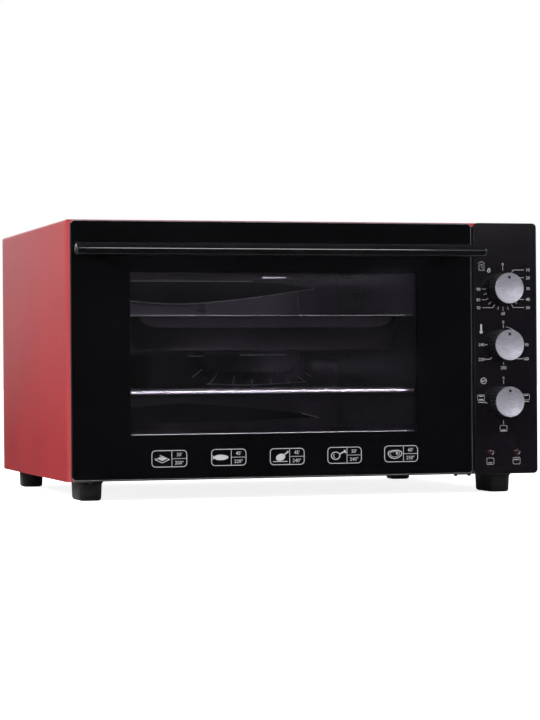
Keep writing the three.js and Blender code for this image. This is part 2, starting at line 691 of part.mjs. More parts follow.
function rightWall() {
  const from = CHAMBER_RIGHT - OVERRUN;
  const to = CHAMBER_RIGHT + OVERRUN;
  const bushes = heaterEnds().map(([y, z]) => rodX(y, z, BUSH_RADIUS + GAP, from, to));
  const entry = rodX(CAPILLARY_Y, BULB_HEIGHT, CAPILLARY_HOLE_RADIUS, from, to, 8);
  return cut(join([chamberSide(CHAMBER_RIGHT), ...runners(CHAMBER_RIGHT, -1)]), [...bushes, entry]);
}

function chamberBack() {
  const plate = box(
    CHAMBER_LEFT - SHEET,
    CHAMBER_RIGHT + SHEET,
    CHAMBER_BACK,
    CHAMBER_BACK + SHEET,
    CHAMBER_BOTTOM - SHEET,
    CHAMBER_TOP + SHEET,
  );
  return plate.subtract(
    rodY(FAN_X, FAN_HEIGHT, FAN_HOLE_RADIUS, CHAMBER_BACK - OVERRUN, CHAMBER_BACK + OVERRUN),
  );
}

// Roof or floor, from its lower face
function chamberSheet(bottom) {
  return box(CHAMBER_LEFT - SHEET, CHAMBER_RIGHT + SHEET, FRAME_BACK, CHAMBER_BACK, bottom, bottom + SHEET);
}

// Heaters: straight legs from side to side, joined by half turns
function heaterRoute(z, pitch, legs) {
  const left = CHAMBER_LEFT + HEATER_SIDE_CLEAR + pitch / 2;
  const right = CHAMBER_RIGHT - HEATER_TURN_CLEAR - pitch / 2;
  const end = CHAMBER_RIGHT + SHEET + HEATER_TAIL;
  const points = [new THREE.Vector3(end, HEATER_FIRST_LEG, z)];
  for (let leg = 0; leg < legs; leg += 1) {
    const y = HEATER_FIRST_LEG + pitch * leg;
    if (leg === legs - 1) {
      points.push(new THREE.Vector3(end, y, z));
      break;
    }
    const direction = leg % 2 === 0 ? -1 : 1;
    const turnX = direction < 0 ? left : right;
    for (const { x: back, y: out } of arc(0, 0, pitch / 2, 0, Math.PI, HEATER_TURN_STEPS)) {
      points.push(new THREE.Vector3(turnX + direction * out, y + pitch / 2 - back, z));
    }
  }
  return points;
}

function heater(z, pitch, legs) {
  const route = new Route(heaterRoute(z, pitch, legs));
  return tube(route, HEATER_RADIUS, route.points.length - 1, HEATER_SIDES);
}

function heaterBush([y, z]) {
  const x = CHAMBER_RIGHT;
  const sleeve = rodX(y, z, BUSH_RADIUS, x - BUSH_REACH, x + SHEET + BUSH_TAIL);
  const flange = rodX(y, z, BUSH_FLANGE, x + SHEET + GAP, x + SHEET + BUSH_TAIL / 2);
  return sleeve.add(flange).subtract(rodX(y, z, HEATER_RADIUS + GAP, x - OVERRUN * 2, x + OVERRUN * 3));
}

function heaterEnds() {
  const upperLast = HEATER_FIRST_LEG + HEATER_UPPER_PITCH * (HEATER_UPPER_LEG_COUNT - 1);
  const lowerLast = HEATER_FIRST_LEG + HEATER_LOWER_PITCH * (HEATER_LOWER_LEG_COUNT - 1);
  return [
    [HEATER_FIRST_LEG, HEATER_UPPER],
    [upperLast, HEATER_UPPER],
    [HEATER_FIRST_LEG, HEATER_LOWER],
    [lowerLast, HEATER_LOWER],
  ];
}

// Thermostat bulb along the right wall, with a thin tube to the thermostat
function thermostatBulb() {
  const bulb = rodY(BULB_X, BULB_HEIGHT, BULB_RADIUS, BULB_START, BULB_END, 12);
  const unitBack = FRAME_BACK + UNIT_DEPTH;
  const wayHeight = KNOB_HEIGHTS[1];
  const beside = (PARTITION + KNOB_X) / 2;
  const half = CAPILLARY_BEND / 2;
  const points = [
    [BULB_X, BULB_END - BULB_RADIUS, BULB_HEIGHT],
    [BULB_X, BULB_END + half, BULB_HEIGHT],
    [BULB_X + half, CAPILLARY_Y, BULB_HEIGHT],
    [CHAMBER_RIGHT + PARTITION_INSET / 2, CAPILLARY_Y, BULB_HEIGHT],
    [PARTITION + PARTITION_INSET / 2, CAPILLARY_Y, BULB_HEIGHT],
    [beside, CAPILLARY_Y - CAPILLARY_RUN / 3, (BULB_HEIGHT + wayHeight) / 2],
    [KNOB_X, unitBack + CAPILLARY_RUN, wayHeight],
    [KNOB_X, unitBack + CAPILLARY_RUN / 3, wayHeight],
    [KNOB_X, unitBack + GAP, wayHeight],
  ];
  const places = points.map((point) => new THREE.Vector3(...point));
  const route = new THREE.CatmullRomCurve3(places, false, 'centripetal');
  return bulb.add(tube(route, CAPILLARY_RADIUS, CAPILLARY_STEPS, 5));
}

function bulbClip() {
  const half = CLIP_SIZE / 2;
  const y = BULB_START + BULB_LENGTH / 2;
  const block = box(BULB_X - half, CHAMBER_RIGHT, y, y + CLIP_WIDTH, BULB_HEIGHT - half, BULB_HEIGHT + half);
  const bore = rodY(BULB_X, BULB_HEIGHT, BULB_RADIUS + GAP, y - OVERRUN, y + CLIP_WIDTH + OVERRUN, 12);
  return block.subtract(bore);
}

// Fan behind its cover, on the shaft of a motor outside the chamber
function fanSquare(half, from, to) {
  const corners = evenly(half - FAN_COVER_FACE + FAN_COVER_CORNER);
  return alongY(outline(FAN_X - half, FAN_HEIGHT - half, FAN_X + half, FAN_HEIGHT + half, corners), from, to);
}

// From the fan's axis to the edge of such a square, at an angle
function squareReach(angle, half) {
  const corner = half - FAN_COVER_FACE + FAN_COVER_CORNER;
  const inner = half - corner;
  const along = Math.abs(Math.cos(angle));
  const across = Math.abs(Math.sin(angle));
  const larger = Math.max(along, across);
  if ((Math.min(along, across) * half) / larger < inner) return half / larger;
  return inner * (along + across) + Math.sqrt(corner ** 2 - (inner * (along - across)) ** 2);
}

function fanCover() {
  const front = FAN_COVER_FRONT;
  const back = CHAMBER_BACK;
  const dish = (inset, from, to) =>
    wasm.Manifold.hull([
      fanSquare(FAN_COVER_FACE - inset, from, from + SHEET / 2),
      fanSquare(FAN_COVER_FOOT - inset, to - SHEET / 2, to),
    ]);
  const flange = fanSquare(FAN_COVER_FOOT + FAN_COVER_FLANGE, back - SHEET, back);
  const slots = [];
  for (let i = 0; i < FAN_SLOTS; i += 1) {
    const angle = (Math.PI * 2 * i) / FAN_SLOTS;
    const half = FAN_SLOT_WIDTH / 2;
    const start = squareReach(angle, FAN_COVER_FACE) - FAN_SLOT_START;
    const end = squareReach(angle, FAN_COVER_FOOT) - FAN_SLOT_END;
    const slot = outline(start, -half, end, half, evenly(half), 1);
    const cutter = new THREE.ExtrudeGeometry(slot, { depth: FAN_COVER_DEPTH, bevelEnabled: false });
    cutter.rotateX(Math.PI / 2);
    cutter.rotateY(angle);
    cutter.translate(FAN_X, back - SHEET - OVERRUN, FAN_HEIGHT);
    slots.push(solid(cutter));
  }
  const inside = dish(SHEET, front + SHEET, back + OVERRUN);
  return cut(dish(0, front, back).add(flange), [inside, ...slots]);
}

function fanBlade() {
  const front = FAN_COVER_FRONT + BLADE_FRONT;
  const back = front + BLADE_WIDTH;
  const hub = rodY(FAN_X, FAN_HEIGHT, BLADE_HUB, front, back);
  const plate = rodY(FAN_X, FAN_HEIGHT, BLADE_RADIUS / 2, back - BLADE_THICKNESS, back);
  const blades = [];
  for (let i = 0; i < BLADE_COUNT; i += 1) {
    const blade = new THREE.BoxGeometry(BLADE_RADIUS - BLADE_HUB / 2, BLADE_WIDTH, BLADE_THICKNESS);
    blade.translate((BLADE_RADIUS + BLADE_HUB / 2) / 2, front + BLADE_WIDTH / 2, 0);
    blade.rotateY((Math.PI * 2 * i) / BLADE_COUNT);
    blade.translate(FAN_X, 0, FAN_HEIGHT);
    blades.push(solid(blade));
  }
  const bore = rodY(FAN_X, FAN_HEIGHT, FAN_SHAFT_RADIUS + PIN_FIT, front - OVERRUN, back + OVERRUN);
  return join([hub, plate, ...blades]).subtract(bore);
}

function fanShaft() {
  return rodY(FAN_X, FAN_HEIGHT, FAN_SHAFT_RADIUS, FAN_COVER_FRONT + BLADE_FRONT - GAP, MOTOR_BACK);
}

function fanMotor() {
  const halfWidth = MOTOR_WIDTH / 2;
  const halfHeight = MOTOR_HEIGHT / 2;
  const core = outline(
    FAN_X - halfWidth,
    FAN_HEIGHT - halfHeight,
    FAN_X + halfWidth,
    FAN_HEIGHT + halfHeight,
    evenly(MOTOR_CORNER),
  );
  const stack = alongY(core, MOTOR_FRONT, MOTOR_BACK);
  const bell = rodY(FAN_X, FAN_HEIGHT, MOTOR_BELL_RADIUS, MOTOR_BACK - SHEET, MOTOR_BACK + MOTOR_BELL, 24);
  const bore = rodY(FAN_X, FAN_HEIGHT, FAN_SHAFT_RADIUS + PIN_FIT, MOTOR_FRONT - OVERRUN, MOTOR_BACK + GAP);
  return stack.add(bell).subtract(bore);
}

// A strap bent twice at each end, drawn as seen from above
function motorBracket() {
  const halfWidth = MOTOR_STRAP_WIDTH / 2;
  const halfHeight = MOTOR_STRAP_HEIGHT / 2;
  const back = MOTOR_FRONT;
  const front = MOTOR_FRONT - SHEET;
  const start = CHAMBER_BACK + SHEET;
  const left = FAN_X - halfWidth;
  const right = FAN_X + halfWidth;
  const profile = [
    [left - MOTOR_TAB, start],
    [left + SHEET, start],
    [left + SHEET, front],
    [right - SHEET, front],
    [right - SHEET, start],
    [right + MOTOR_TAB, start],
    [right + MOTOR_TAB, start + SHEET],
    [right, start + SHEET],
    [right, back],
    [left, back],
    [left, start + SHEET],
    [left - MOTOR_TAB, start + SHEET],
  ];
  const points = profile.map(([x, y]) => new THREE.Vector2(x, y));
  const strap = alongZ(polygon(points), FAN_HEIGHT - halfHeight, FAN_HEIGHT + halfHeight);
  return strap.subtract(rodY(FAN_X, FAN_HEIGHT, FAN_HOLE_RADIUS, start, back + OVERRUN));
}

// Wire rack and baking tray, resting on the runners
function wireRack() {
  const wire = RACK_WIRE;
  const left = RACK_LEFT + wire;
  const right = RACK_RIGHT - wire;
  const front = RACK_FRONT + wire;
  const back = RACK_BACK - wire;
  const reach = wire - ROD_BITE;
  const z = RACK_HEIGHT;
  const frame = [
    rodX(front, z, wire, left - reach, right + reach, 10),
    rodX(back, z, wire, left - reach, right + reach, 10),
    rodY(left, z, wire, front - reach, back + reach, 10),
    rodY(right, z, wire, front - reach, back + reach, 10),
  ];
  const rods = [];
  for (let i = 0; i < ROD_COUNT; i += 1) {
    const x = CHAMBER_MIDDLE + ROD_PITCH * (i - (ROD_COUNT - 1) / 2);
    rods.push(rodY(x, z + wire + ROD_RADIUS - ROD_BITE, ROD_RADIUS, front - reach, back + reach, 6));
  }
  return join([...frame, ...rods]);
}

// The tray's wall leans out from its floor to its mouth; the same form, shrunk, makes the inside
function trayBody(inset, bottom, top) {
  const mouthSide = TRAY_FLANGE + inset;
  const mouthEnd = TRAY_END_FLANGE + inset;
  const corners = (lean) => {
    const x0 = RACK_LEFT + mouthSide + lean;
    const x1 = RACK_RIGHT - mouthSide - lean;
    const y0 = RACK_FRONT + mouthEnd + lean;
    const y1 = RACK_BACK - mouthEnd - lean;
    return outline(x0, y0, x1, y1, evenly(TRAY_CORNER - inset)).getPoints();
  };
  const floor = corners(TRAY_SLOPE);
  const mouth = corners(0);
  const depth = top - bottom;
  const geometry = new THREE.ExtrudeGeometry(new THREE.Shape(mouth), { depth, bevelEnabled: false });
  const place = geometry.attributes.position;
  for (let i = 0; i < place.count; i += 1) {
    if (place.getZ(i) > 0) continue;
    const corner = new THREE.Vector2(place.getX(i), place.getY(i));
    const { x, y } = floor[mouth.findIndex((point) => point.distanceTo(corner) < SAME_POINT)];
    place.setXY(i, x, y);
  }
  geometry.translate(0, 0, bottom);
  return solid(geometry);
}

function bakingTray() {
  const rimTop = TRAY_RIM + SHEET;
  const bottom = rimTop - TRAY_DEPTH;
  const rimPlan = outline(RACK_LEFT, RACK_FRONT, RACK_RIGHT, RACK_BACK, evenly(TRAY_RIM_CORNER));
  const rim = alongZ(rimPlan, TRAY_RIM, rimTop);
  const shell = trayBody(0, bottom, rimTop).add(rim);
  return shell.subtract(trayBody(SHEET, bottom + SHEET, rimTop + SHEET));
}

// Door
function handleBrackets() {
  return [DOOR_LEFT + BRACKET_INSET, DOOR_RIGHT - BRACKET_INSET];
}

function doorGlass() {
  const face = outline(DOOR_LEFT, DOOR_BOTTOM, DOOR_RIGHT, DOOR_TOP, evenly(FRONT_CORNER));
  const holes = handleBrackets().map((x) =>
    rodY(x, HANDLE_HEIGHT, HANDLE_SCREW_RADIUS + SCREW_FIT, -OVERRUN, GLASS + OVERRUN, 12),
  );
  return cut(alongY(face, 0, GLASS), holes);
}

function handleBar() {
  const from = DOOR_LEFT - HANDLE_OVERHANG;
  const to = DOOR_RIGHT + HANDLE_OVERHANG;
  const round = HANDLE_END_ROUND;
  const end = arc(HANDLE_RADIUS - round, from + round, round, -Math.PI / 2, Math.PI / 2, 4);
  const other = arc(HANDLE_RADIUS - round, to - round, round, 0, Math.PI / 2, 4);
  const points = [new THREE.Vector2(0, from), ...end, ...other, new THREE.Vector2(0, to)];
  const geometry = new THREE.LatheGeometry(points, 20);
  geometry.rotateZ(-Math.PI / 2);
  geometry.translate(0, -HANDLE_REACH, HANDLE_HEIGHT);
  return solid(geometry);
}

function handleBracket(x) {
  const half = BRACKET_WIDTH / 2;
  const low = HANDLE_HEIGHT - BRACKET_HEIGHT / 2;
  const high = HANDLE_HEIGHT + BRACKET_HEIGHT / 2;
  const post = alongY(outline(x - half, low, x + half, high, evenly(BRACKET_CORNER)), -HANDLE_REACH, 0);
  const from = x - BRACKET_WIDTH;
  const to = x + BRACKET_WIDTH;
  const seat = rodX(-HANDLE_REACH, HANDLE_HEIGHT, HANDLE_RADIUS + GAP, from, to, 24);
  const before = box(
    from,
    to,
    -HANDLE_REACH - OVERRUN,
    -HANDLE_REACH + HANDLE_RADIUS / 2,
    low - OVERRUN,
    high + OVERRUN,
  );
  const screwTip = GLASS + SHEET - HANDLE_SCREW_LENGTH;
  const bore = rodY(x, HANDLE_HEIGHT, HANDLE_SCREW_RADIUS + GAP, screwTip - GAP, OVERRUN, 12);
  return cut(post, [seat, before, bore]);
}

function handleScrew(x) {
  const front = GLASS + SHEET;
  const head = rodY(x, HANDLE_HEIGHT, HANDLE_SCREW_HEAD, front, front + HANDLE_SCREW_HEAD_HEIGHT, 16);
  const tip = front - HANDLE_SCREW_LENGTH;
  return head.add(rodY(x, HANDLE_HEIGHT, HANDLE_SCREW_RADIUS, tip, front + SHEET / 2, 12));
}

function linerPan(inset, front, back) {
  const out = LINER_CLEAR + inset;
  return box(CHAMBER_LEFT + out, CHAMBER_RIGHT - out, front, back, CHAMBER_BOTTOM + out, CHAMBER_TOP - out);
}

function doorLiner() {
  const flange = box(
    DOOR_LEFT + LINER_FLANGE_SIDE,
    DOOR_RIGHT - LINER_FLANGE_SIDE,
    GLASS,
    GLASS + SHEET,
    DOOR_BOTTOM + LINER_FLANGE_BOTTOM,
    DOOR_TOP - LINER_FLANGE_TOP,
  );
  const out = LINER_CLEAR + LINER_LIP;
  const window = box(
    CHAMBER_LEFT + out,
    CHAMBER_RIGHT - out,
    LINER_BACK - OVERRUN,
    LINER_BACK + OVERRUN,
    CHAMBER_BOTTOM + LINER_CLEAR + LINER_SILL,
    CHAMBER_TOP - out,
  );
  const screws = handleBrackets().map((x) =>
    rodY(x, HANDLE_HEIGHT, HANDLE_SCREW_RADIUS + SCREW_FIT, GLASS - OVERRUN, GLASS + OVERRUN, 12),
  );
  const hollow = linerPan(SHEET, GLASS - OVERRUN, LINER_BACK - SHEET);
  return cut(flange.add(linerPan(0, GLASS, LINER_BACK)), [hollow, window, ...screws]);
}

function innerGlass() {
  return linerPan(SHEET + GAP, LINER_BACK - SHEET - GLASS, LINER_BACK - SHEET);
}

// Hinges: a leaf on the door turns on a pin between the two ears of a bracket on the front frame
function hingeSpans() {
  const left = DOOR_LEFT + HINGE_INSETS[0];
  const right = DOOR_RIGHT - HINGE_INSETS[1];
  return [
    [left, left + KNUCKLE_WIDTH],
    [right - KNUCKLE_WIDTH, right],
  ];
}

function hingeLeaf([from, to]) {
  const back = GLASS + SHEET + HINGE_PLATE;
  const low = DOOR_BOTTOM + GAP;
  const knuckle = rodX(HINGE_DEPTH, HINGE_HEIGHT, KNUCKLE_RADIUS, from, to, 16);
  const plate = box(from, to, GLASS + SHEET, back, low, CASING_BOTTOM + HINGE_TOP);
  const neck = box(from, to, GLASS + SHEET, HINGE_DEPTH, low, HINGE_HEIGHT + PIN_RADIUS);
  const bore = rodX(HINGE_DEPTH, HINGE_HEIGHT, PIN_RADIUS + PIN_FIT, from - OVERRUN, to + OVERRUN);
  return join([knuckle, plate, neck]).subtract(bore);
}

function hingeBracket([from, to]) {
  const start = FRAME_BACK + HINGE_BRACKET_GAP;
  const back = HINGE_DEPTH + EAR_RADIUS;
  const top = CASING_BOTTOM + HINGE_TOP;
  const outer = [from - GAP - EAR_THICKNESS, to + GAP + EAR_THICKNESS];
  const ears = [
    [outer[0], from - GAP],
    [to + GAP, outer[1]],
  ].map(([left, right]) => {
    const disc = rodX(HINGE_DEPTH, HINGE_HEIGHT, EAR_RADIUS, left, right, 16);
    const strip = box(left, right, start, back, HINGE_HEIGHT, top);
    return disc.add(strip);
  });
  const web = box(...outer, start, start + HINGE_PLATE, HINGE_HEIGHT + EAR_RADIUS, top);
  const bore = rodX(HINGE_DEPTH, HINGE_HEIGHT, PIN_RADIUS + PIN_FIT, outer[0] - OVERRUN, outer[1] + OVERRUN);
  return join([...ears, web]).subtract(bore);
}

function hingePin([from, to]) {
  const left = from - GAP * 2 - EAR_THICKNESS;
  const right = to + GAP * 2 + EAR_THICKNESS;
  const shank = rodX(HINGE_DEPTH, HINGE_HEIGHT, PIN_RADIUS, left - PIN_HEAD / 2, right + PIN_HEAD / 2);
  const heads = [left - PIN_HEAD, right].map((x) =>
    rodX(HINGE_DEPTH, HINGE_HEIGHT, PIN_HEAD_RADIUS, x, x + PIN_HEAD, 16),
  );
  return join([shank, ...heads]);
}

// Control panel with its carrier, and what passes through both
function controlFascia() {
  const from = -OVERRUN;
  const to = GLASS + OVERRUN;
  const face = outline(PANEL_LEFT, PANEL_BOTTOM, PANEL_RIGHT, PANEL_TOP, evenly(FRONT_CORNER));
  const shafts = KNOB_HEIGHTS.map((z) => rodY(KNOB_X, z, SHAFT_RADIUS + SCREW_FIT, from, to));
  const lamps = LAMP_INSETS.map((inset) =>
    rodY(PANEL_RIGHT - inset, LAMP_HEIGHT, LENS_RADIUS + GAP, from, to, 16),
  );
  return cut(alongY(face, 0, GLASS), [...shafts, ...lamps]);
}

function fasciaCarrier() {
  const from = GLASS;
  const to = CASING_FRONT - GAP;
  const frame = (inset) => [PANEL_LEFT + inset, PANEL_BOTTOM + inset, PANEL_RIGHT - inset, PANEL_TOP - inset];
  const before = from - OVERRUN;
  const behind = to + OVERRUN;
  const outer = alongY(outline(...frame(CARRIER_INSET), evenly(FRONT_CORNER)), from, to);
  const inner = alongY(outline(...frame(CARRIER_INSET + CARRIER_RING), evenly(FRONT_CORNER)), before, behind);
  const spine = box(
    KNOB_X - CARRIER_SPINE / 2,
    KNOB_X + CARRIER_SPINE / 2,
    from,
    to,
    PANEL_BOTTOM + CARRIER_INSET,
    PANEL_TOP - CARRIER_INSET,
  );
  const lampBar = box(
    PANEL_LEFT + CARRIER_INSET,
    PANEL_RIGHT - CARRIER_INSET,
    from,
    to,
    LAMP_HEIGHT - CARRIER_SPINE / 2,
    LAMP_HEIGHT + CARRIER_SPINE / 2,
  );
  const bosses = KNOB_HEIGHTS.map((z) => rodY(KNOB_X, z, CARRIER_BOSS, from, to));
  const necks = KNOB_HEIGHTS.map((z) => rodY(KNOB_X, z, UNIT_NECK_RADIUS + GAP, before, behind));
  const lamps = LAMP_INSETS.map((inset) =>
    rodY(PANEL_RIGHT - inset, LAMP_HEIGHT, LENS_STEM + GAP, before, behind, 16),
  );
  return cut(join([outer.subtract(inner), spine, lampBar, ...bosses]), [...necks, ...lamps]);
}

function knob(z) {
  const points = [];
  for (let rib = 0; rib < KNOB_RIBS; rib += 1) {
    for (const [share, depth] of RIB_SHARES) {
      const angle = (Math.PI * 2 * (rib + share)) / KNOB_RIBS;
      const radius = KNOB_RADIUS - KNOB_RIB * depth;
      points.push(new THREE.Vector2(KNOB_X + radius * Math.cos(angle), z + radius * Math.sin(angle)));
    }
  }
  const skirt = alongY(polygon(points), -KNOB_FRONT, -KNOB_GAP);
  return skirt.subtract(rodY(KNOB_X, z, SHAFT_RADIUS + PIN_FIT, -SHAFT_FRONT - GAP, OVERRUN));
}

function knobCap(z) {
  const back = -KNOB_FRONT;
  const front = back - CAP_THICKNESS;
  const edge = arc(CAP_RADIUS - CAP_ROUND, front + CAP_ROUND, CAP_ROUND, -Math.PI / 2, Math.PI / 2, 2);
  const profile = [[0, front], ...edge.map((point) => [point.x, point.y]), [CAP_RADIUS, back], [0, back]];
  const dot = rodY(KNOB_X, z + DOT_REACH, DOT_RADIUS, front - OVERRUN, back + OVERRUN, 16);
  return turned(profile, KNOB_X, z, 32).subtract(dot);
}

const knobShaft = (z) => rodY(KNOB_X, z, SHAFT_RADIUS, -SHAFT_FRONT, SHAFT_BACK);

// Timer, thermostat or switch: a box behind the frame with a neck through it
function controlUnit(z) {
  const half = UNIT_SIZE / 2;
  const body = outline(KNOB_X - half, z - half, KNOB_X + half, z + half, evenly(UNIT_CORNER), 2);
  const neck = rodY(KNOB_X, z, UNIT_NECK_RADIUS, FRAME_BACK - UNIT_NECK, FRAME_BACK + UNIT_NECK);
  const bore = rodY(KNOB_X, z, SHAFT_RADIUS + PIN_FIT, FRAME_BACK - UNIT_NECK * 2, SHAFT_BACK + GAP);
  return alongY(body, FRAME_BACK, FRAME_BACK + UNIT_DEPTH).add(neck).subtract(bore);
}

// A pilot lamp: its lens in the panel and its body clipped into the frame behind
function pilotLamp(inset) {
  const profile = [
    [0, -LENS_DOME],
    ...LENS_SHARES.map(([reach, height]) => [LENS_RADIUS * reach, -LENS_DOME * height]),
    [LENS_RADIUS, 0],
    [LENS_RADIUS, GLASS - GAP],
    [LENS_STEM, GLASS - GAP],
    [LENS_STEM, FRAME_BACK + GAP],
    [LAMP_BODY_RADIUS, FRAME_BACK + GAP],
    [LAMP_BODY_RADIUS, LAMP_BODY_BACK],
    [0, LAMP_BODY_BACK],
  ];
  return turned(profile, PANEL_RIGHT - inset, LAMP_HEIGHT, 14);
}

// Mains entry: the gland in the rear panel
function cordGland() {
  const inside = PANEL_BACK - SHEET - GAP;
  const outside = PANEL_BACK + GAP;
  const neck = rodY(GLAND_X, GLAND_HEIGHT, GLAND_NECK, inside - GLAND_PLATE, outside + GLAND_PLATE);
  const nut = rodY(GLAND_X, GLAND_HEIGHT, GLAND_FLANGE, inside - GLAND_PLATE, inside, 6);
  const flange = rodY(GLAND_X, GLAND_HEIGHT, GLAND_FLANGE, outside, outside + GLAND_PLATE, 24);
  const tail = rodY(GLAND_X, GLAND_HEIGHT, GLAND_NECK + GAP, outside, REARMOST, 24);
  const bore = rodY(GLAND_X, GLAND_HEIGHT, GLAND_BORE, inside - OVERRUN * 2, REARMOST + OVERRUN);
  return join([neck, nut, flange, tail]).subtract(bore);
}

// Casing and feet
add('outer_wrap', outerWrap(), redPaint);
add('front_frame', frontFrame(), redPaint);
add('base_plate', basePlate(), galvanised);
add('rear_panel', rearPanel(), galvanised);
add('control_partition', controlPartition(), galvanised);
footPlaces().forEach((place, i) => add(`foot_${FOOT_NAMES[i]}`, foot(place), blackPlastic));

// Oven chamber
add('chamber_left_wall', leftWall(), blackEnamel);
add('chamber_right_wall', rightWall(), blackEnamel);
add('chamber_roof', chamberSheet(CHAMBER_TOP), blackEnamel);
add('chamber_floor', chamberSheet(CHAMBER_BOTTOM - SHEET), blackEnamel);
add('chamber_back', chamberBack(), blackEnamel);
add('heater_upper', heater(HEATER_UPPER, HEATER_UPPER_PITCH, HEATER_UPPER_LEG_COUNT), heaterSteel);
add('heater_lower', heater(HEATER_LOWER, HEATER_LOWER_PITCH, HEATER_LOWER_LEG_COUNT), heaterSteel);
heaterEnds().forEach((place, i) => add(`heater_bush_${BUSH_NAMES[i]}`, heaterBush(place), ceramic));
add('thermostat_bulb', thermostatBulb(), copper);
add('bulb_clip', bulbClip(), brightSteel);
add('fan_cover', fanCover(), blackEnamel);
add('fan_blade', fanBlade(), aluminium);
add('fan_shaft', fanShaft(), brightSteel);
add('fan_motor', fanMotor(), galvanised);
add('motor_bracket', motorBracket(), galvanised);
add('wire_rack', wireRack(), brightSteel);
add('baking_tray', bakingTray(), blackEnamel);

// Door
add('door_glass', doorGlass(), blackGlass);
add('door_liner', doorLiner(), blackEnamel);
add('door_inner_glass', innerGlass(), clearGlass);
add('handle_bar', handleBar(), blackGloss);
['left', 'right'].forEach((side, i) => {
  add(`handle_bracket_${side}`, handleBracket(handleBrackets()[i]), blackGloss);
  add(`handle_screw_${side}`, handleScrew(handleBrackets()[i]), brightSteel);
  add(`hinge_leaf_${side}`, hingeLeaf(hingeSpans()[i]), blackPlastic);
  add(`hinge_bracket_${side}`, hingeBracket(hingeSpans()[i]), blackPlastic);
  add(`hinge_pin_${side}`, hingePin(hingeSpans()[i]), brightSteel);
});

// Controls
add('control_fascia', controlFascia(), blackGlass);
add('fascia_carrier', fasciaCarrier(), blackPlastic);
['timer', 'thermostat', 'function'].forEach((role, i) => {
  add(`${role}_knob`, knob(KNOB_HEIGHTS[i]), blackPlastic);
  add(`${role}_knob_cap`, knobCap(KNOB_HEIGHTS[i]), aluminium);
  add(`${role}_shaft`, knobShaft(KNOB_HEIGHTS[i]), brightSteel);
  add(`${role}_unit`, controlUnit(KNOB_HEIGHTS[i]), brownMoulding);
});
add('pilot_lamp_left', pilotLamp(LAMP_INSETS[0]), redLens);
add('pilot_lamp_right', pilotLamp(LAMP_INSETS[1]), redLens);
add('cord_gland', cordGland(), blackPlastic);

export default oven;
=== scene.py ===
"""Looks of the mini oven: pieces, finishes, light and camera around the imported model."""
import json
from math import cos, pi, radians, sin, sqrt, tau

import bmesh
import bpy
from mathutils import Matrix, Vector
from mathutils.geometry import tessellate_polygon

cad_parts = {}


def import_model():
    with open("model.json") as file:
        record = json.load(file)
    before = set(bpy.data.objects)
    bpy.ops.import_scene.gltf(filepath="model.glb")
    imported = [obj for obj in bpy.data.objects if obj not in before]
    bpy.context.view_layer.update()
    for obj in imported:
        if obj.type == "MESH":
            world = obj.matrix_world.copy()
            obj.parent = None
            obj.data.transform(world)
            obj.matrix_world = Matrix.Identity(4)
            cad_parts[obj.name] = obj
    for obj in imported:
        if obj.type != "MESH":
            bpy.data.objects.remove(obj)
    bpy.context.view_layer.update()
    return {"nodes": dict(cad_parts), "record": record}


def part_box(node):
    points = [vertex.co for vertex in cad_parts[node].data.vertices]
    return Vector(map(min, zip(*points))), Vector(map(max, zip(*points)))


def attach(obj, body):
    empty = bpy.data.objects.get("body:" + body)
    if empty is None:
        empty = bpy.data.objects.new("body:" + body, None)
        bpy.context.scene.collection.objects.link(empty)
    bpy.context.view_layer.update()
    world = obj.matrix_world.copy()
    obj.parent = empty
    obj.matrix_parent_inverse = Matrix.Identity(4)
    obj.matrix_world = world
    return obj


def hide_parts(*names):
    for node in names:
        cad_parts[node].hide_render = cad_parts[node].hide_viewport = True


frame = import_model()
NODES = frame["nodes"]
BODY = {
    node: body
    for body, members in frame["record"]["behaviour"]["bodies"].items()
    for node in members
}
MM = 0.001
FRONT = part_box("door_glass")[0].y  # depths are counted from the face of the door glass
SIDES = ("left", "right")
ROLES = ("timer", "thermostat", "function")


def at(x, y, z):
    """A place in metres from millimetres: across, behind the door's face, above the table."""
    return Vector((x * MM, FRONT + y * MM, z * MM))


def span(node):
    """A node's box in those millimetres: lowest and highest corner."""
    low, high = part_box(node)
    shift = Vector((0, FRONT, 0))
    return (low - shift) / MM, (high - shift) / MM


def middle(node):
    low, high = span(node)
    return (low + high) / 2


def linked(name, data):
    """An object of that data, in the scene."""
    item = bpy.data.objects.new(name, data)
    bpy.context.scene.collection.objects.link(item)
    return item


# ---- finishes
class Nodes:
    """Makes and links the nodes of one tree."""

    def __init__(self, tree):
        self.tree = tree

    def node(self, kind, **values):
        """A node with its settings, or the values of its sockets, by name."""
        node = self.tree.nodes.new(kind)
        for key, value in values.items():
            if hasattr(node, key):
                setattr(node, key, value)
            else:
                node.inputs[key.replace("_", " ")].default_value = value
        return node

    def link(self, source, target):
        self.tree.links.new(source, target)

    def ramp(self, factor, low, high, from_min=0.3, from_max=0.7):
        """Low to high, while the factor goes from one number to another."""
        node = self.node("ShaderNodeMapRange", From_Min=from_min, From_Max=from_max, To_Min=low, To_Max=high)
        self.link(factor, node.inputs["Value"])
        return node.outputs["Result"]

    def math(self, operation, first, second):
        node = self.node("ShaderNodeMath", operation=operation)
        self.link(first, node.inputs[0])
        self.link(second, node.inputs[1])
        return node.outputs[0]

    def blend(self, factor, first, second):
        """One shader going over into another by a factor."""
        mix = self.node("ShaderNodeMixShader")
        for source, socket in zip((factor, first.outputs[0], second.outputs[0]), mix.inputs):
            self.link(source, socket)
        return mix


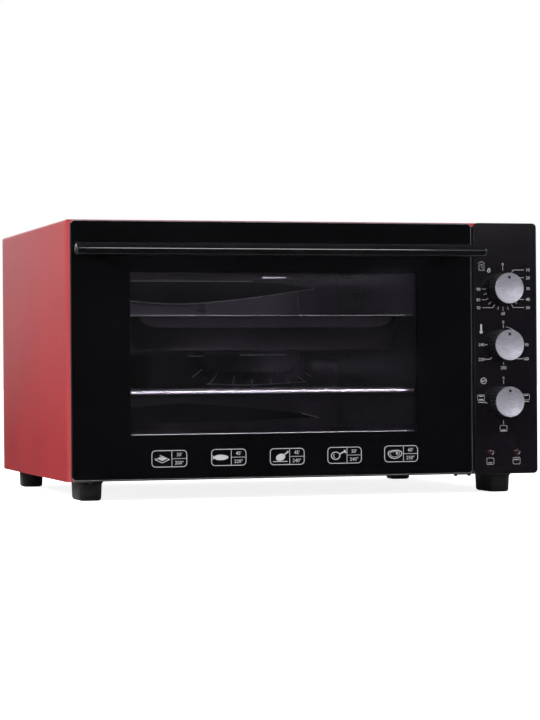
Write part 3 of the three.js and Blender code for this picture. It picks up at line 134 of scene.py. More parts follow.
class Finish(Nodes):
    """A surface with its colour, roughness and relief from nodes in object space."""

    COAT_ROUGH = 0.06
    NOISE_REACH = 2.5  # noise strays about 0.2 from its middle, so half a change takes this much

    def __init__(self, name, color, rough, metal=0.0, coat=0.0, specular=0.5, transmission=0.0):
        self.material = bpy.data.materials.new(name)
        self.material.use_nodes = True
        super().__init__(self.material.node_tree)
        self.shader = self.tree.nodes["Principled BSDF"]
        self.color = color
        self.rough = rough
        for socket, value in (
            ("Base Color", (*color, 1)), ("Roughness", rough), ("Metallic", metal), ("IOR", 1.5),
            ("Coat Weight", coat), ("Coat Roughness", self.COAT_ROUGH),
            ("Specular IOR Level", specular), ("Transmission Weight", transmission),
        ):
            self.shader.inputs[socket].default_value = value

    def coordinates(self, scale):
        place = self.node("ShaderNodeTexCoord")
        mapping = self.node("ShaderNodeMapping", Scale=scale)
        self.link(place.outputs["Object"], mapping.inputs["Vector"])
        return mapping.outputs["Vector"]

    def noise(self, size, stretch=(1, 1, 1), detail=3.0):
        """Noise whose features measure about size millimetres."""
        node = self.node("ShaderNodeTexNoise", Scale=1 / (size * MM), Detail=detail, Roughness=0.55)
        self.link(self.coordinates(stretch), node.inputs["Vector"])
        return node.outputs["Fac"]

    def mottle(self, size, share, stretch=(1, 1, 1)):
        """Shades the colour darker and lighter by that share."""
        mix = self.node("ShaderNodeMix", data_type="RGBA")
        self.link(self.ramp(self.noise(size, stretch), 0, 1), mix.inputs["Factor"])
        sources = [s for s in mix.inputs if s.name in "AB" and s.type == "RGBA"]
        for socket, sign in zip(sources, (-1, 1)):
            socket.default_value = (*[c * (1 + sign * share) for c in self.color], 1)
        out = next(s for s in mix.outputs if s.type == "RGBA")
        self.link(out, self.shader.inputs["Base Color"])

    def zones(self, *rows):
        """Scales the colour in soft-edged boxes: x from and to, z from and to, edges across and up, factor."""
        base = self.shader.inputs["Base Color"]
        parts = self.node("ShaderNodeSeparateXYZ")
        self.link(self.coordinates((1 / MM, 1 / MM, 1 / MM)), parts.inputs[0])
        level = None
        for x0, x1, z0, z1, across, upwards, factor in rows:
            share = None
            for axis, edge, soft in (("X", x0, across), ("X", x1, -across), ("Z", z0, upwards), ("Z", z1, -upwards)):
                step = self.ramp(parts.outputs[axis], 0, 1, edge - soft, edge + soft)
                share = step if share is None else self.math("MULTIPLY", share, step)
            gain = self.ramp(share, 1, factor, 0, 1)
            level = gain if level is None else self.math("MULTIPLY", level, gain)
        scale = self.node("ShaderNodeVectorMath", operation="SCALE")
        self.link(base.links[0].from_socket, scale.inputs[0])
        self.link(level, scale.inputs["Scale"])
        self.link(scale.outputs[0], base)

    def polish(self, size, change, stretch=(1, 1, 1)):
        """Lets the roughness wander by that much either way."""
        reach = self.NOISE_REACH * change
        result = self.ramp(self.noise(size, stretch), self.rough - reach, self.rough + reach, 0, 1)
        self.link(result, self.shader.inputs["Roughness"])

    def bump(self, size, height, stretch=(1, 1, 1)):
        """Relief of about that height in millimetres."""
        node = self.node("ShaderNodeBump", Strength=1.0, Distance=height * MM)
        self.link(self.noise(size, stretch, 2.0), node.inputs["Height"])
        self.link(node.outputs["Normal"], self.shader.inputs["Normal"])


FLANGE_SHADE_ZONE = (-268, 268, -50, 26, 1, 0.5, 0.03)  # painted shade: the casing's bottom flange, under the oven, is darkened almost to black
# painted light: the chamber's enamel is 2.2 times lighter below 114 mm
CHAMBER_LIGHT_ZONE = (-400, 400, -50, 114, 1, 6, 2.2)
# painted light and shade: boxes darken the back wall and fan cover low at the left, and lighten them above the tray
# and at the right
REAR_LIGHT_AND_SHADE_ZONES = [
    (-400, -88, 112, 168, 22, 4, 0.04), (-88, 38, 112, 168, 16, 4, 0.3),
    (-400, -88, -40, 97, 22, 3, 0.04), (-88, 40, -40, 97, 30, 3, 0.38),
    (-400, 92, 204, 249, 40, 5, 2.2), (48, 96, 135, 163, 10, 9, 2.2), (96, 148, 70, 106, 8, 4, 1.6),
    (106, 150, 140, 172, 4, 5, 0.6),
]
FINISHES = {  # name, colour, roughness, shader values, and what is laid over them
    "casing_paint": (
        "red_powder_coat", (0.4, 0.031, 0.038), 0.3, dict(coat=0.15),
        dict(mottle=(60, 0.05), bump=(4, 0.008), zones=[FLANGE_SHADE_ZONE]),
    ),
    "bare_sheet": (
        "zinc_sheet", (0.52, 0.53, 0.54), 0.42, dict(metal=1.0),
        dict(mottle=(9, 0.14), polish=(7, 0.09), bump=(6, 0.01)),
    ),
    "chamber_enamel": (
        "grey_enamel", (0.1, 0.094, 0.115), 0.34, {},
        dict(mottle=(60, 0.08), bump=(9, 0.008), zones=[CHAMBER_LIGHT_ZONE]),
    ),
    # painted shade: a darker copy of the chamber's enamel for its roof and floor
    "roof_enamel_shaded": ("roof_enamel_shaded", (0.038, 0.036, 0.044), 0.36, {}, dict(mottle=(60, 0.08), bump=(9, 0.008))),
    # painted light and shade: a lighter copy of the chamber's enamel for the back wall and fan cover, with the boxes
    # above
    "rear_enamel_lit_and_shaded": (
        "rear_enamel_lit_and_shaded", (0.13, 0.123, 0.15), 0.36, {},
        dict(mottle=(60, 0.06), bump=(9, 0.008), zones=REAR_LIGHT_AND_SHADE_ZONES),
    ),
    "tray_enamel": (
        "black_enamel", (0.026, 0.024, 0.029), 0.36, dict(coat=0.4),
        dict(mottle=(30, 0.12), polish=(25, 0.03), bump=(9, 0.008)),
    ),
    "heater_sheath": (
        "heater_tube", (0.2, 0.19, 0.185), 0.36, dict(metal=0.9),
        dict(mottle=(14, 0.25, (0.3, 1, 1)), polish=(6, 0.1), bump=(1.2, 0.01)),
    ),
    "ceramic_bush": ("ceramic", (0.12, 0.115, 0.115), 0.55, {}, dict(mottle=(3, 0.08), bump=(0.7, 0.02))),
    "bulb_metal": (
        "dull_bulb", (0.1, 0.094, 0.115), 0.42, {},
        dict(mottle=(8, 0.15), polish=(5, 0.08), bump=(1.5, 0.008)),
    ),
    # chrome with a painted highlight: nearly white and mostly not metal, for the rack's front
    "bright_wire": (
        "chrome_painted_bright", (0.88, 0.87, 0.92), 0.34, dict(metal=0.15),
        dict(mottle=(25, 0.05), polish=(12, 0.05), bump=(2.0, 0.004)),
    ),
    "bright_steel": (
        "plated_steel", (0.62, 0.63, 0.65), 0.25, dict(metal=1.0),
        dict(mottle=(6, 0.08), polish=(3, 0.06), bump=(0.8, 0.006)),
    ),
    "fan_aluminium": (
        "pressed_aluminium", (0.62, 0.63, 0.65), 0.36, dict(metal=1.0),
        dict(mottle=(12, 0.08, (1, 1, 6)), polish=(5, 0.08), bump=(0.6, 0.01, (1, 1, 8))),
    ),
    "door_glass": (
        "black_glass_print", (0.0035, 0.0035, 0.0042), 0.05, {}, dict(mottle=(120, 0.2), polish=(90, 0.015)),
    ),
    # painted shade: a dark copy of the rack's wire for the parts behind its front rail
    "shaded_wire": ("shaded_wire", (0.03, 0.029, 0.033), 0.4, dict(metal=0.3), dict(mottle=(25, 0.1), polish=(12, 0.05))),
    "panel_glass": (
        "panel_black", (0.0085, 0.0068, 0.0098), 0.14, dict(specular=0.4),
        dict(mottle=(70, 0.12), polish=(60, 0.02), bump=(1.6, 0.0012)),
    ),
    "handle_gloss": (
        "handle_black", (0.006, 0.006, 0.0075), 0.14, dict(coat=0.5),
        dict(mottle=(45, 0.2), polish=(30, 0.04), bump=(3, 0.004)),
    ),
    "hinge_black": (
        "blackened_steel", (0.03, 0.03, 0.032), 0.4, dict(metal=0.4),
        dict(mottle=(8, 0.2), polish=(5, 0.08), bump=(0.9, 0.012)),
    ),
    "carrier_plastic": ("carrier_black", (0.022, 0.022, 0.024), 0.5, {}, dict(mottle=(15, 0.12), bump=(0.6, 0.015))),
    "knob_plastic": (
        "knob_black", (0.009, 0.0085, 0.0105), 0.34, dict(specular=0.35),
        dict(mottle=(10, 0.15), polish=(8, 0.05), bump=(0.5, 0.008)),
    ),
    "control_housing": ("brown_moulding", (0.05, 0.032, 0.022), 0.55, {}, dict(mottle=(6, 0.15), bump=(0.8, 0.02))),
    "lamp_lens": (
        "red_lens", (0.05, 0.006, 0.006), 0.12, dict(coat=0.6, transmission=0.25),
        dict(mottle=(2.5, 0.25), bump=(0.8, 0.006)),
    ),
    "foot_plastic": (
        "foot_black", (0.0085, 0.008, 0.0095), 0.45, dict(specular=0.25),
        dict(mottle=(14, 0.15), polish=(10, 0.06), bump=(0.55, 0.02)),
    ),
    "gland_plastic": ("gland_black", (0.018, 0.018, 0.019), 0.45, {}, dict(mottle=(6, 0.15), bump=(0.5, 0.015))),
    "knob_disc": (  # brushed straight across
        "brushed_aluminium", (0.43, 0.418, 0.49), 0.42, dict(metal=0.5),
        dict(mottle=(1.3, 0.16, (0.25, 1, 1)), polish=(0.5, 0.06, (0.03, 1, 1)), bump=(0.3, 0.003, (0.02, 1, 1))),
    ),
    "print_ink": ("print_ink", (0.6, 0.59, 0.63), 0.5, {}, dict(mottle=(3, 0.06), bump=(0.4, 0.004))),
    "glass_edge": ("glass_edge", (0.16, 0.16, 0.18), 0.3, {}, dict(mottle=(8, 0.2), polish=(5, 0.05))),
    # painted highlight: pale white for thin wires that stand for glints in the chamber, on the tray and at the lamps
    "pale_glint": ("pale_glint", (0.8, 0.78, 0.83), 0.4, dict(metal=0.1), dict(mottle=(9, 0.2), polish=(6, 0.06))),
    # the roof baffle's own dark enamel, and painted shade for the drip recess
    "dark_enamel_and_shade": ("dark_enamel_and_shade", (0.016, 0.014, 0.019), 0.4, {}, dict(mottle=(50, 0.15), polish=(30, 0.05))),
    # painted highlight: a pale copy of the tray's black enamel for its front face
    "tray_highlight_grey": ("tray_highlight_grey", (0.14, 0.135, 0.155), 0.4, {}, dict(mottle=(40, 0.12), polish=(30, 0.05))),
    "panel_edge": (
        "panel_edge", (0.006, 0.005, 0.007), 0.4, dict(specular=0.2), dict(mottle=(8, 0.2), polish=(5, 0.05)),
    ),
    "dot_black": ("dot_black", (0.004, 0.004, 0.005), 0.35, {}, dict(mottle=(20, 0.2))),
    "steel_rim": ("turned_rim", (0.48, 0.48, 0.51), 0.4, dict(metal=1.0), dict(mottle=(5, 0.05), polish=(3, 0.05))),
}


def clear_glass():
    """A clear pane: light passes straight, the surface mirrors by angle, and dust scatters a little."""
    haze, rough = 0.001, 0.03
    glass = Finish("clear_glass", (0.52, 0.5, 0.53), rough)
    glass.tree.nodes.remove(glass.shader)
    clear = glass.node("ShaderNodeBsdfTransparent", Color=(0.945, 0.93, 0.955, 1))
    dust = glass.node("ShaderNodeBsdfDiffuse", Color=(0.6, 0.57, 0.68, 1))
    mirror = glass.node("ShaderNodeBsdfGlossy", Roughness=rough)
    fresnel = glass.node("ShaderNodeFresnel", IOR=1.45)
    body = glass.blend(glass.ramp(glass.noise(45), haze * 0.6, haze * 1.4), clear, dust)
    both = glass.blend(fresnel.outputs[0], body, mirror)
    glass.link(both.outputs[0], glass.tree.nodes["Material Output"].inputs["Surface"])
    return glass


def finishes():
    made = {"clear_glass": clear_glass()}
    for key, (name, color, rough, values, steps) in FINISHES.items():
        made[key] = Finish(name, color, rough, **values)
        for step, numbers in steps.items():
            getattr(made[key], step)(*numbers)
    return made


# ---- mesh helpers
BEVEL_SEGMENTS = 2
BEVEL_ANGLE = radians(40)


def outward(mesh):
    """Turns the faces of a closed mesh so that they look outwards."""
    bm = bmesh.new()
    bm.from_mesh(mesh)
    bmesh.ops.recalc_face_normals(bm, faces=bm.faces)
    bm.to_mesh(mesh)
    bm.free()


def mesh_of(name, points, faces, marks=None, crease=35.0, turn=False):
    """A mesh, smooth but for edges sharper than the crease; marks are the faces' material numbers."""
    mesh = bpy.data.meshes.new(name)
    mesh.from_pydata([tuple(p) for p in points], [], [tuple(f) for f in faces])
    if marks is not None:
        mesh.polygons.foreach_set("material_index", marks)
    if turn:
        outward(mesh)
    mesh.shade_smooth()
    mesh.set_sharp_from_angle(angle=radians(crease))
    mesh.validate()
    return mesh


def place(mesh, finish, node=None, body=None, slot=None, bevel=0.0):
    """Shows a mesh as a piece: in place of a node, or new on a body."""
    piece = linked(mesh.name, mesh)
    for one in finish if isinstance(finish, list) else [finish]:
        mesh.materials.append(one.material)
    if node:
        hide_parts(node)
    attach(piece, body or BODY[node])
    if bevel:
        edge = piece.modifiers.new("edges", "BEVEL")
        edge.width = bevel * MM
        edge.segments = BEVEL_SEGMENTS
        edge.limit_method = "ANGLE"
        edge.angle_limit = BEVEL_ANGLE
        edge.harden_normals = True
        edge.use_clamp_overlap = True


def copy_of(node):
    """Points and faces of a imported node, with its flat faces whole again."""
    bm = bmesh.new()
    bm.from_mesh(NODES[node].data)
    bmesh.ops.remove_doubles(bm, verts=bm.verts, dist=2e-6)
    bmesh.ops.dissolve_limit(bm, angle_limit=radians(0.3), verts=bm.verts, edges=bm.edges)
    bm.verts.index_update()
    points = [v.co.copy() for v in bm.verts]
    faces = [[v.index for v in face.verts] for face in bm.faces]
    bm.free()
    return points, faces


def dress(node, finish, bevel=0.0, crease=32.0):
    """A node's own shape with soft edges and its finish."""
    points, faces = copy_of(node)
    place(mesh_of(f"{node}_finished", points, faces, crease=crease), F[finish], node=node, bevel=bevel)


def ring_faces(count, loops, closed=False):
    """Faces between loops that follow each other in the list of points."""
    faces = []
    for a in range(loops if closed else loops - 1):
        b = (a + 1) % loops
        for i in range(count):
            j = (i + 1) % count
            faces.append((a * count + i, a * count + j, b * count + j, b * count + i))
    return faces


def turned(profile, x, z, sides=48, relief=None):
    """Turned about an axis from front to back.

    The profile's rows are radius and depth in millimetres, and the share of the relief that is cut from them.
    """
    points = []
    loops = []
    for radius, y, *share in profile:
        if not radius:
            loops.append([len(points)] * sides)
            points.append(at(x, y, z))
            continue
        loops.append(list(range(len(points), len(points) + sides)))
        for k in range(sides):
            angle = tau * k / sides
            reach = radius - (relief(k) * share[0] if share else 0)
            points.append(at(x + reach * cos(angle), y, z + reach * sin(angle)))
    faces = []
    for a, b in zip(loops, loops[1:]):
        for i in range(sides):
            j = (i + 1) % sides
            face = list(dict.fromkeys((a[i], a[j], b[j], b[i])))
            if len(face) > 2:
                faces.append(face)
    return points, faces


def rounded(x0, z0, x1, z1, radius, steps=6):
    """Outline of a rounded rectangle, counter-clockwise."""
    points = []
    for cx, cz, start in ((x1, z1, 0), (x0, z1, 90), (x0, z0, 180), (x1, z0, 270)):
        ax = cx - radius if cx == x1 else cx + radius
        az = cz - radius if cz == z1 else cz + radius
        for k in range(steps + 1):
            angle = radians(start + 90 * k / steps)
            points.append((ax + radius * cos(angle), az + radius * sin(angle)))
    return points


def sweep(path, radius, sides=16, closed=False):
    """A round wire along a path in metres."""
    path = [Vector(p) for p in path]
    count = len(path)
    tangents = []
    for i in range(count):
        before = path[i - 1] if closed or i else path[0]
        after = path[(i + 1) % count] if closed or i < count - 1 else path[-1]
        tangents.append((after - before).normalized())
    normal = tangents[0].orthogonal().normalized()
    points = []
    for i in range(count):
        if i:
            normal = tangents[i - 1].rotation_difference(tangents[i]) @ normal
        side = tangents[i].cross(normal).normalized()
        for k in range(sides):
            angle = tau * k / sides
            points.append(path[i] + (normal * cos(angle) + side * sin(angle)) * radius * MM)
    faces = ring_faces(sides, count, closed)
    if not closed:
        faces.append(tuple(reversed(range(sides))))
        faces.append(tuple(range((count - 1) * sides, count * sides)))
    return points, faces


def joined(parts):
    points, faces = [], []
    for some, theirs in parts:
        shift = len(points)
        points += list(some)
        faces += [[i + shift for i in face] for face in theirs]
    return points, faces


# ---- casing, feet and back
F = finishes()

KEPT = {
    "control_partition": "bare_sheet", "base_plate": "bare_sheet", "rear_panel": "bare_sheet",
    "chamber_roof": "roof_enamel_shaded", "chamber_floor": "roof_enamel_shaded", "chamber_back": "rear_enamel_lit_and_shaded",
}
for node, finish in KEPT.items():
    NODES[node].data.materials.clear()
    NODES[node].data.materials.append(F[finish].material)

dress("outer_wrap", "casing_paint")
dress("front_frame", "casing_paint")
for side in SIDES:
    dress(f"chamber_{side}_wall", "chamber_enamel", 0.2)
    dress(f"handle_bracket_{side}", "handle_gloss", 0.6)
    dress(f"handle_screw_{side}", "bright_steel", 0.3)
    dress(f"hinge_leaf_{side}", "hinge_black", 0.15)
    dress(f"hinge_bracket_{side}", "hinge_black", 0.15)
    dress(f"hinge_pin_{side}", "bright_steel", 0.2)
    dress(f"pilot_lamp_{side}", "lamp_lens")
    for end in ("front", "rear"):
        dress(f"foot_{end}_{side}", "foot_plastic", 0.5)
for end in ("upper_front", "upper_rear", "lower_front", "lower_rear"):
    dress(f"heater_bush_{end}", "ceramic_bush", 0.2)
for role in ROLES:
    dress(f"{role}_unit", "control_housing", 0.6)
    dress(f"{role}_shaft", "bright_steel", 0.2)
dress("fascia_carrier", "carrier_plastic", 0.2)
dress("fan_cover", "rear_enamel_lit_and_shaded", 0.25)
dress("fan_blade", "fan_aluminium", 0.2)
dress("fan_shaft", "bright_steel", 0.2)
dress("fan_motor", "bare_sheet", 0.4)
dress("motor_bracket", "bare_sheet", 0.12)
dress("bulb_clip", "bright_steel", 0.12)
dress("thermostat_bulb", "bulb_metal")
dress("heater_upper", "heater_sheath", crease=60)
dress("heater_lower", "heater_sheath", crease=60)
dress("cord_gland", "gland_plastic", 0.4)
dress("door_liner", "chamber_enamel", 0.15)
dress("door_inner_glass", "clear_glass", 0.3)


# ---- the door's glass
PRINTED, GROUND, WINDOWED, SHADED_EDGE = range(4)  # the numbers of a slab's finishes
SHADED_EDGE_STRIP = 1.5  # painted shade: this much of a slab's ground edge, at its left, takes a black finish


def slab(name, node, chamfer, finish, edge, window=None, radius=1.2):
    """A ground-edged sheet in the plane of the front, with a clear window where one is named."""
    low, high = span(node)

    def outline(inset):
        corner = max(radius - inset, 0.2)
        return rounded(low.x + inset, low.z + inset, high.x - inset, high.z - inset, corner, 4)

    rows = [(chamfer, low.y), (0, low.y + chamfer), (0, high.y - chamfer), (chamfer, high.y)]
    points = [at(x, y, z) for inset, y in rows for x, z in outline(inset)]
    count = len(outline(0))
    faces = ring_faces(count, len(rows))
    left = at(low.x + SHADED_EDGE_STRIP, 0, 0).x
    marks = [SHADED_EDGE if all(points[i].x < left for i in face) else GROUND for face in faces]
    for row, flip in ((0, False), (len(rows) - 1, True)):
        loop = [row * count + i for i in range(count)]
        holes = []
        if window:
            x0, x1, z0, z1 = window
            holes = list(range(len(points), len(points) + 4))
            points += [at(x, rows[row][1], z) for x, z in ((x0, z0), (x1, z0), (x1, z1), (x0, z1))]
        order = loop + holes
        plan = [[Vector((points[i].x, points[i].z, 0)) for i in part] for part in (loop, holes) if part]
        sheet = [[order[i] for i in tri] for tri in tessellate_polygon(plan)]
        marks += [PRINTED] * len(sheet)
        if holes:
            sheet.append(holes)
            marks.append(WINDOWED)
        faces += [face[::-1] if flip else face for face in sheet]
    mesh = mesh_of(name, points, faces, marks, crease=20, turn=True)
    place(mesh, [finish, edge, F["clear_glass"] if window else finish, F["panel_edge"]], node=node)


WINDOW = (-212.0, 130.3, 74.1, 257.9)  # left, right, low, high
slab("door_glass_sheet", "door_glass", 0.9, F["door_glass"], F["glass_edge"], WINDOW, 5.0)
slab("control_fascia_plate", "control_fascia", 0.6, F["panel_glass"], F["panel_edge"], radius=5.0)


def gap_seal():
    """Black seal behind the gap between door and panel; the red frame shows above and below it."""
    lap = 2.5  # behind the door and behind the panel
    x0, x1 = span("door_glass")[1].x - lap, span("control_fascia")[0].x + lap
    z0, z1 = span("control_fascia")[0].z + 4.5, span("control_fascia")[1].z - 5.0
    y0, y1 = span("door_glass")[1].y + 1.2, span("front_frame")[0].y - 0.05
    plan = rounded(x0, z0, x1, z1, 1.0, 3)
    points = [at(x, y, z) for y in (y0, y1) for x, z in plan]
    count = len(plan)
    faces = ring_faces(count, 2) + [tuple(range(count)), tuple(reversed(range(count, 2 * count)))]
    mesh = mesh_of("front_gap_seal", points, faces)
    place(mesh, F["carrier_plastic"], body="oven", slot="carrier_plastic", bevel=0.3)


gap_seal()


def dot_screen():
    """Dots printed behind the window, in rows half a pitch apart."""
    pitch, radius, sides, behind = 2.45, 0.62, 6, 0.03
    rise = pitch * sqrt(3) / 2
    back = span("door_glass")[1].y + behind
    points, faces = [], []
    z, row = WINDOW[2] + pitch / 2, 0
    while z < WINDOW[3] - pitch / 3:
        x = WINDOW[0] + pitch / 2 + (pitch / 2 if row % 2 else 0)
        while x < WINDOW[1] - pitch / 3:
            first = len(points)
            for k in range(sides):
                angle = tau * (k + 0.5) / sides
                points.append(at(x + radius * cos(angle), back, z + radius * sin(angle)))
            faces.append(tuple(range(first, first + sides)))
            x += pitch
        z += rise
        row += 1
    place(mesh_of("door_dot_screen", points, faces), F["dot_black"], body="door", slot="door_glass")


dot_screen()


# ---- print on door and panel
INK = 0.05  # how far print stands off its surface
CAPITAL = 0.7  # height of a figure, as a share of the size of the type
MITRE = 0.35  # how far a stroke's corner may reach out


def turns(count):
    return (tau * k / count for k in range(count))


def oval(x, z, wide, high, count):
    return [(x + wide * cos(t), z + high * sin(t)) for t in turns(count)]


class Print:
    """Flat print in the plane of the front, in millimetres across and above the table."""

    def __init__(self):
        self.points = []
        self.faces = []

    def area(self, plan):
        """A filled outline, counter-clockwise."""
        first = len(self.points)
        self.points += plan
        flat = [Vector((x, z, 0)) for x, z in plan]
        for tri in tessellate_polygon([flat]):
            a, b, c = (flat[i] for i in tri)
            turn = (b - a).cross(c - a).z
            order = tri if turn > 0 else tri[::-1]
            self.faces.append([first + i for i in order])

    def line(self, plan, width, closed=False):
        """A stroke with mitred corners."""
        count = len(plan)
        here = [Vector(p) for p in plan]
        inner, outer = [], []
        for i, p in enumerate(here):
            before = here[i - 1] if closed or i else None
            after = here[(i + 1) % count] if closed or i < count - 1 else None
            a = (p - before).normalized() if before is not None else (after - p).normalized()
            b = (after - p).normalized() if after is not None else a
            normal = Vector((-a.y - b.y, a.x + b.x))
            normal = normal.normalized() if normal.length > 1e-6 else Vector((-a.y, a.x))
            reach = width / 2 / max(normal.dot(Vector((-a.y, a.x))), MITRE)
            inner.append(p + normal * reach)
            outer.append(p - normal * reach)
        for i in range(count if closed else count - 1):
            j = (i + 1) % count
            first = len(self.points)
            self.points += [tuple(outer[i]), tuple(outer[j]), tuple(inner[j]), tuple(inner[i])]
            self.faces.append([first, first + 1, first + 2, first + 3])

    def arc(self, x, z, radius, start, end, width, steps=24):
        """Angles run clockwise from the top, in degrees."""
        plan = []
        for k in range(steps + 1):
            angle = radians(90 - start - (end - start) * k / steps)
            plan.append((x + radius * cos(angle), z + radius * sin(angle)))
        self.line(plan, width)

    def disc(self, x, z, radius, sides=20):
        self.area(oval(x, z, radius, radius, sides))

    def ring(self, x, z, radius, width, sides=28):
        self.line(oval(x, z, radius, radius, sides), width, closed=True)

    def box(self, x0, z0, x1, z1, radius, width):
        self.line(rounded(x0, z0, x1, z1, radius, 4), width, closed=True)

    def word(self, x, z, size, text):
        """Plain figures, middle height at z; size is their height."""
        curve = bpy.data.curves.new("figures", "FONT")
        curve.body = text
        curve.align_x = "CENTER"
        curve.size = size / CAPITAL
        curve.resolution_u = 3
        carrier = linked("figures", curve)
        bpy.context.view_layer.update()
        mesh = carrier.to_mesh()
        first = len(self.points)
        self.points += [(x + v.co.x, z + v.co.y - size / 2) for v in mesh.vertices]
        for face in mesh.polygons:
            ring = [first + i for i in face.vertices]
            spots = [Vector(self.points[i]) for i in ring]
            area = sum(a.cross(b) for a, b in zip(spots, spots[1:] + spots[:1]))
            self.faces.append(ring if area > 0 else ring[::-1])
        carrier.to_mesh_clear()
        bpy.data.objects.remove(carrier)
        bpy.data.curves.remove(curve)

    def piece(self, name, ink, body, slot, face):
        mesh = bpy.data.meshes.new(name)
        mesh.from_pydata([at(x, face - INK, z) for x, z in self.points], [], self.faces)
        mesh.validate()
        place(mesh, ink, body=body, slot=slot)


def strokes(ink, x, z, rows, width):
    """Lines given by their offsets from a place."""
    for row in rows:
        ink.line([(x + a, z + b) for a, b in row], width)


DIALS = [middle(f"{role}_knob") for role in ROLES]
MARK, STRONG_MARK, FIGURE = 0.5, 0.62, 3.5  # widths of the dials' marks, and height of their figures


def timer_print(ink, x, z):
    """Minutes, three degrees each, a clock, and a hand for staying on."""
    strokes(ink, x, z, [
        [(0, 25.6), (0, 21.2)],
        [(10.6, 17.8), (12.9, 21.9), (26.6, 22.2)],
        [(17.6, 10.4), (21.8, 13.0), (26.6, 13.0)],
        [(20.6, 0), (26.4, 0)],
        [(17.6, -10.4), (21.7, -12.8), (26.5, -12.8)],
        [(10.6, -18.4), (12.9, -22.2), (26.5, -22.2)],
        [(0, -21.4), (0, -26.2)],
        [(-10.6, -18.8), (-12.7, -22.4), (-26.3, -22.4)],
        [(-18.6, -11.2), (-21.7, -13.1), (-26.3, -13.1)],
        [(-21.2, -0.5), (-26.2, -0.5)],
        [(15.2, -15.4), (17.8, -18.0)], [(5.6, -21.2), (6.6, -24.6)], [(-5.6, -21.2), (-6.8, -24.6)],
        [(-15.2, -15.7), (-18.1, -18.4)], [(-20.4, -5.9), (-24.2, -7.0)],
    ], MARK)
    for minute, across, up in (
        (0, 0, 28.4), (10, 31.6, 22.2), (20, 31.6, 12.8), (30, 31.6, 0.2), (40, 31.5, -12.6),
        (50, 31.5, -22.2), (60, 0, -29.2), (70, -30.9, -22.5), (80, -30.9, -13.2), (90, -30.8, -0.8),
    ):
        ink.word(x + across, z + up, FIGURE, str(minute))
    clock_x, clock_z = x - 26.6, z + 24.9
    ink.ring(clock_x, clock_z, 3.5, 0.34)
    strokes(ink, clock_x, clock_z, [
        [(-4.3, 4.4), (0, 7.2), (4.3, 4.2)], [(0, 2.0), (0, 0), (1.4, -0.8)],
        [(-2.7, -2.5), (-3.7, -4.1)], [(2.7, -2.5), (3.6, -4.1)],
    ], 0.38)
    hand_x, hand_z = x - 17.6, z + 20.9
    ink.ring(hand_x, hand_z, 1.6, 0.9, 16)
    fingers = [[(-0.9, 1.2), (-0.6, 2.7)], [(0.4, 1.5), (0.6, 3.6)], [(1.3, 1.0), (1.7, 2.4)]]
    strokes(ink, hand_x, hand_z, fingers, 0.85)


def thermostat_print(ink, x, z):
    """Degrees, a band that grows wider with the heat, and a thermometer."""
    strokes(ink, x, z, [
        [(0.2, 24.2), (0.2, 20.2)], [(20.6, 0.3), (25.6, 0.3)], [(14.6, -14.2), (17.0, -16.2), (24.2, -16.2)],
        [(0.1, -19.8), (0.1, -23.0)], [(-14.5, -14.3), (-16.7, -16.4), (-23.4, -16.4)], [(-19.7, 0.6), (-23.2, 0.6)],
    ], STRONG_MARK)
    for label, across, up in (
        ("0", 0.2, 27.2), ("90", 29.4, 0.4), ("160", 28.4, -16.1), ("200", 0, -26.6), ("220", -27.6, -16.6),
        ("240", -27.5, 0.7),
    ):
        ink.word(x + across, z + up, FIGURE, label)
    steps, turn, inside = 14, 7.6, 21.6
    for step in range(steps):
        angle = 8 + step * turn
        width = 0.35 + 1.3 * step / (steps - 1)
        ink.arc(x, z, inside + width / 2, angle, angle + turn, width, 2)
    glass_x, glass_z = x - 27.7, z + 15.7
    ink.area(rounded(glass_x - 0.95, glass_z, glass_x + 0.95, glass_z + 9.2, 0.9, 3))
    ink.disc(glass_x, glass_z, 2.0)


def function_print(ink, x, z):
    """A fan, and heat from below, above and both."""
    fan_x, fan_z = x - 25.0, z + 24.7
    ink.ring(fan_x, fan_z, 3.4, 0.7)
    for angle in (0.15, pi + 0.15):
        leaf = [(1.25 + 1.15 * cos(t), 0.3 + 0.75 * sin(t)) for t in turns(10)]
        across, up = cos(angle), sin(angle)
        ink.area([(fan_x + a * across - b * up, fan_z + a * up + b * across) for a, b in leaf])
    ink.word(x, z + 28.0, 3.1, "0")
    strokes(ink, x, z, [
        [(0, 25.4), (0, 20.8)], [(-0.5, -21.6), (-0.5, -27.0)],
        [(-32.2, -0.6), (-22.8, -0.6), (-20.8, -1.6)], [(21.0, -0.4), (22.6, 0), (32.1, 0)],
    ], STRONG_MARK)
    for across, up, bars in ((-28.4, 4.8, (-2.0, 2.0)), (28.2, 5.2, (2.0,)), (-0.5, -31.5, (-2.0,))):
        ink.box(x + across - 4.3, z + up - 3.4, x + across + 4.3, z + up + 3.4, 0.9, 0.36)
        for bar in bars:
            ink.line([(x + across - 2.8, z + up + bar), (x + across + 2.8, z + up + bar)], 0.8)


def panel_print():
    ink = Print()
    for write, dial in zip((timer_print, thermostat_print, function_print), DIALS):
        write(ink, DIALS[0].x, dial.z)
    for side in SIDES:
        lamp = middle(f"pilot_lamp_{side}")
        x, z = lamp.x, lamp.z - 11.4
        ink.box(x - 4.4, z - 3.8, x + 4.4, z + 3.8, 1.3, 0.4)
        if side == "left":
            ink.line([(x - 2.3, z - 1.9), (x + 2.3, z - 1.9)], 0.8)
        else:
            ink.line([(x - 2.8 + 1.4 * k, z + 1.5 + (0.5 if k % 2 else -0.5)) for k in range(5)], 0.7)
    ink.piece("panel_print", F["print_ink"], "oven", "panel_glass", span("control_fascia")[0].y)


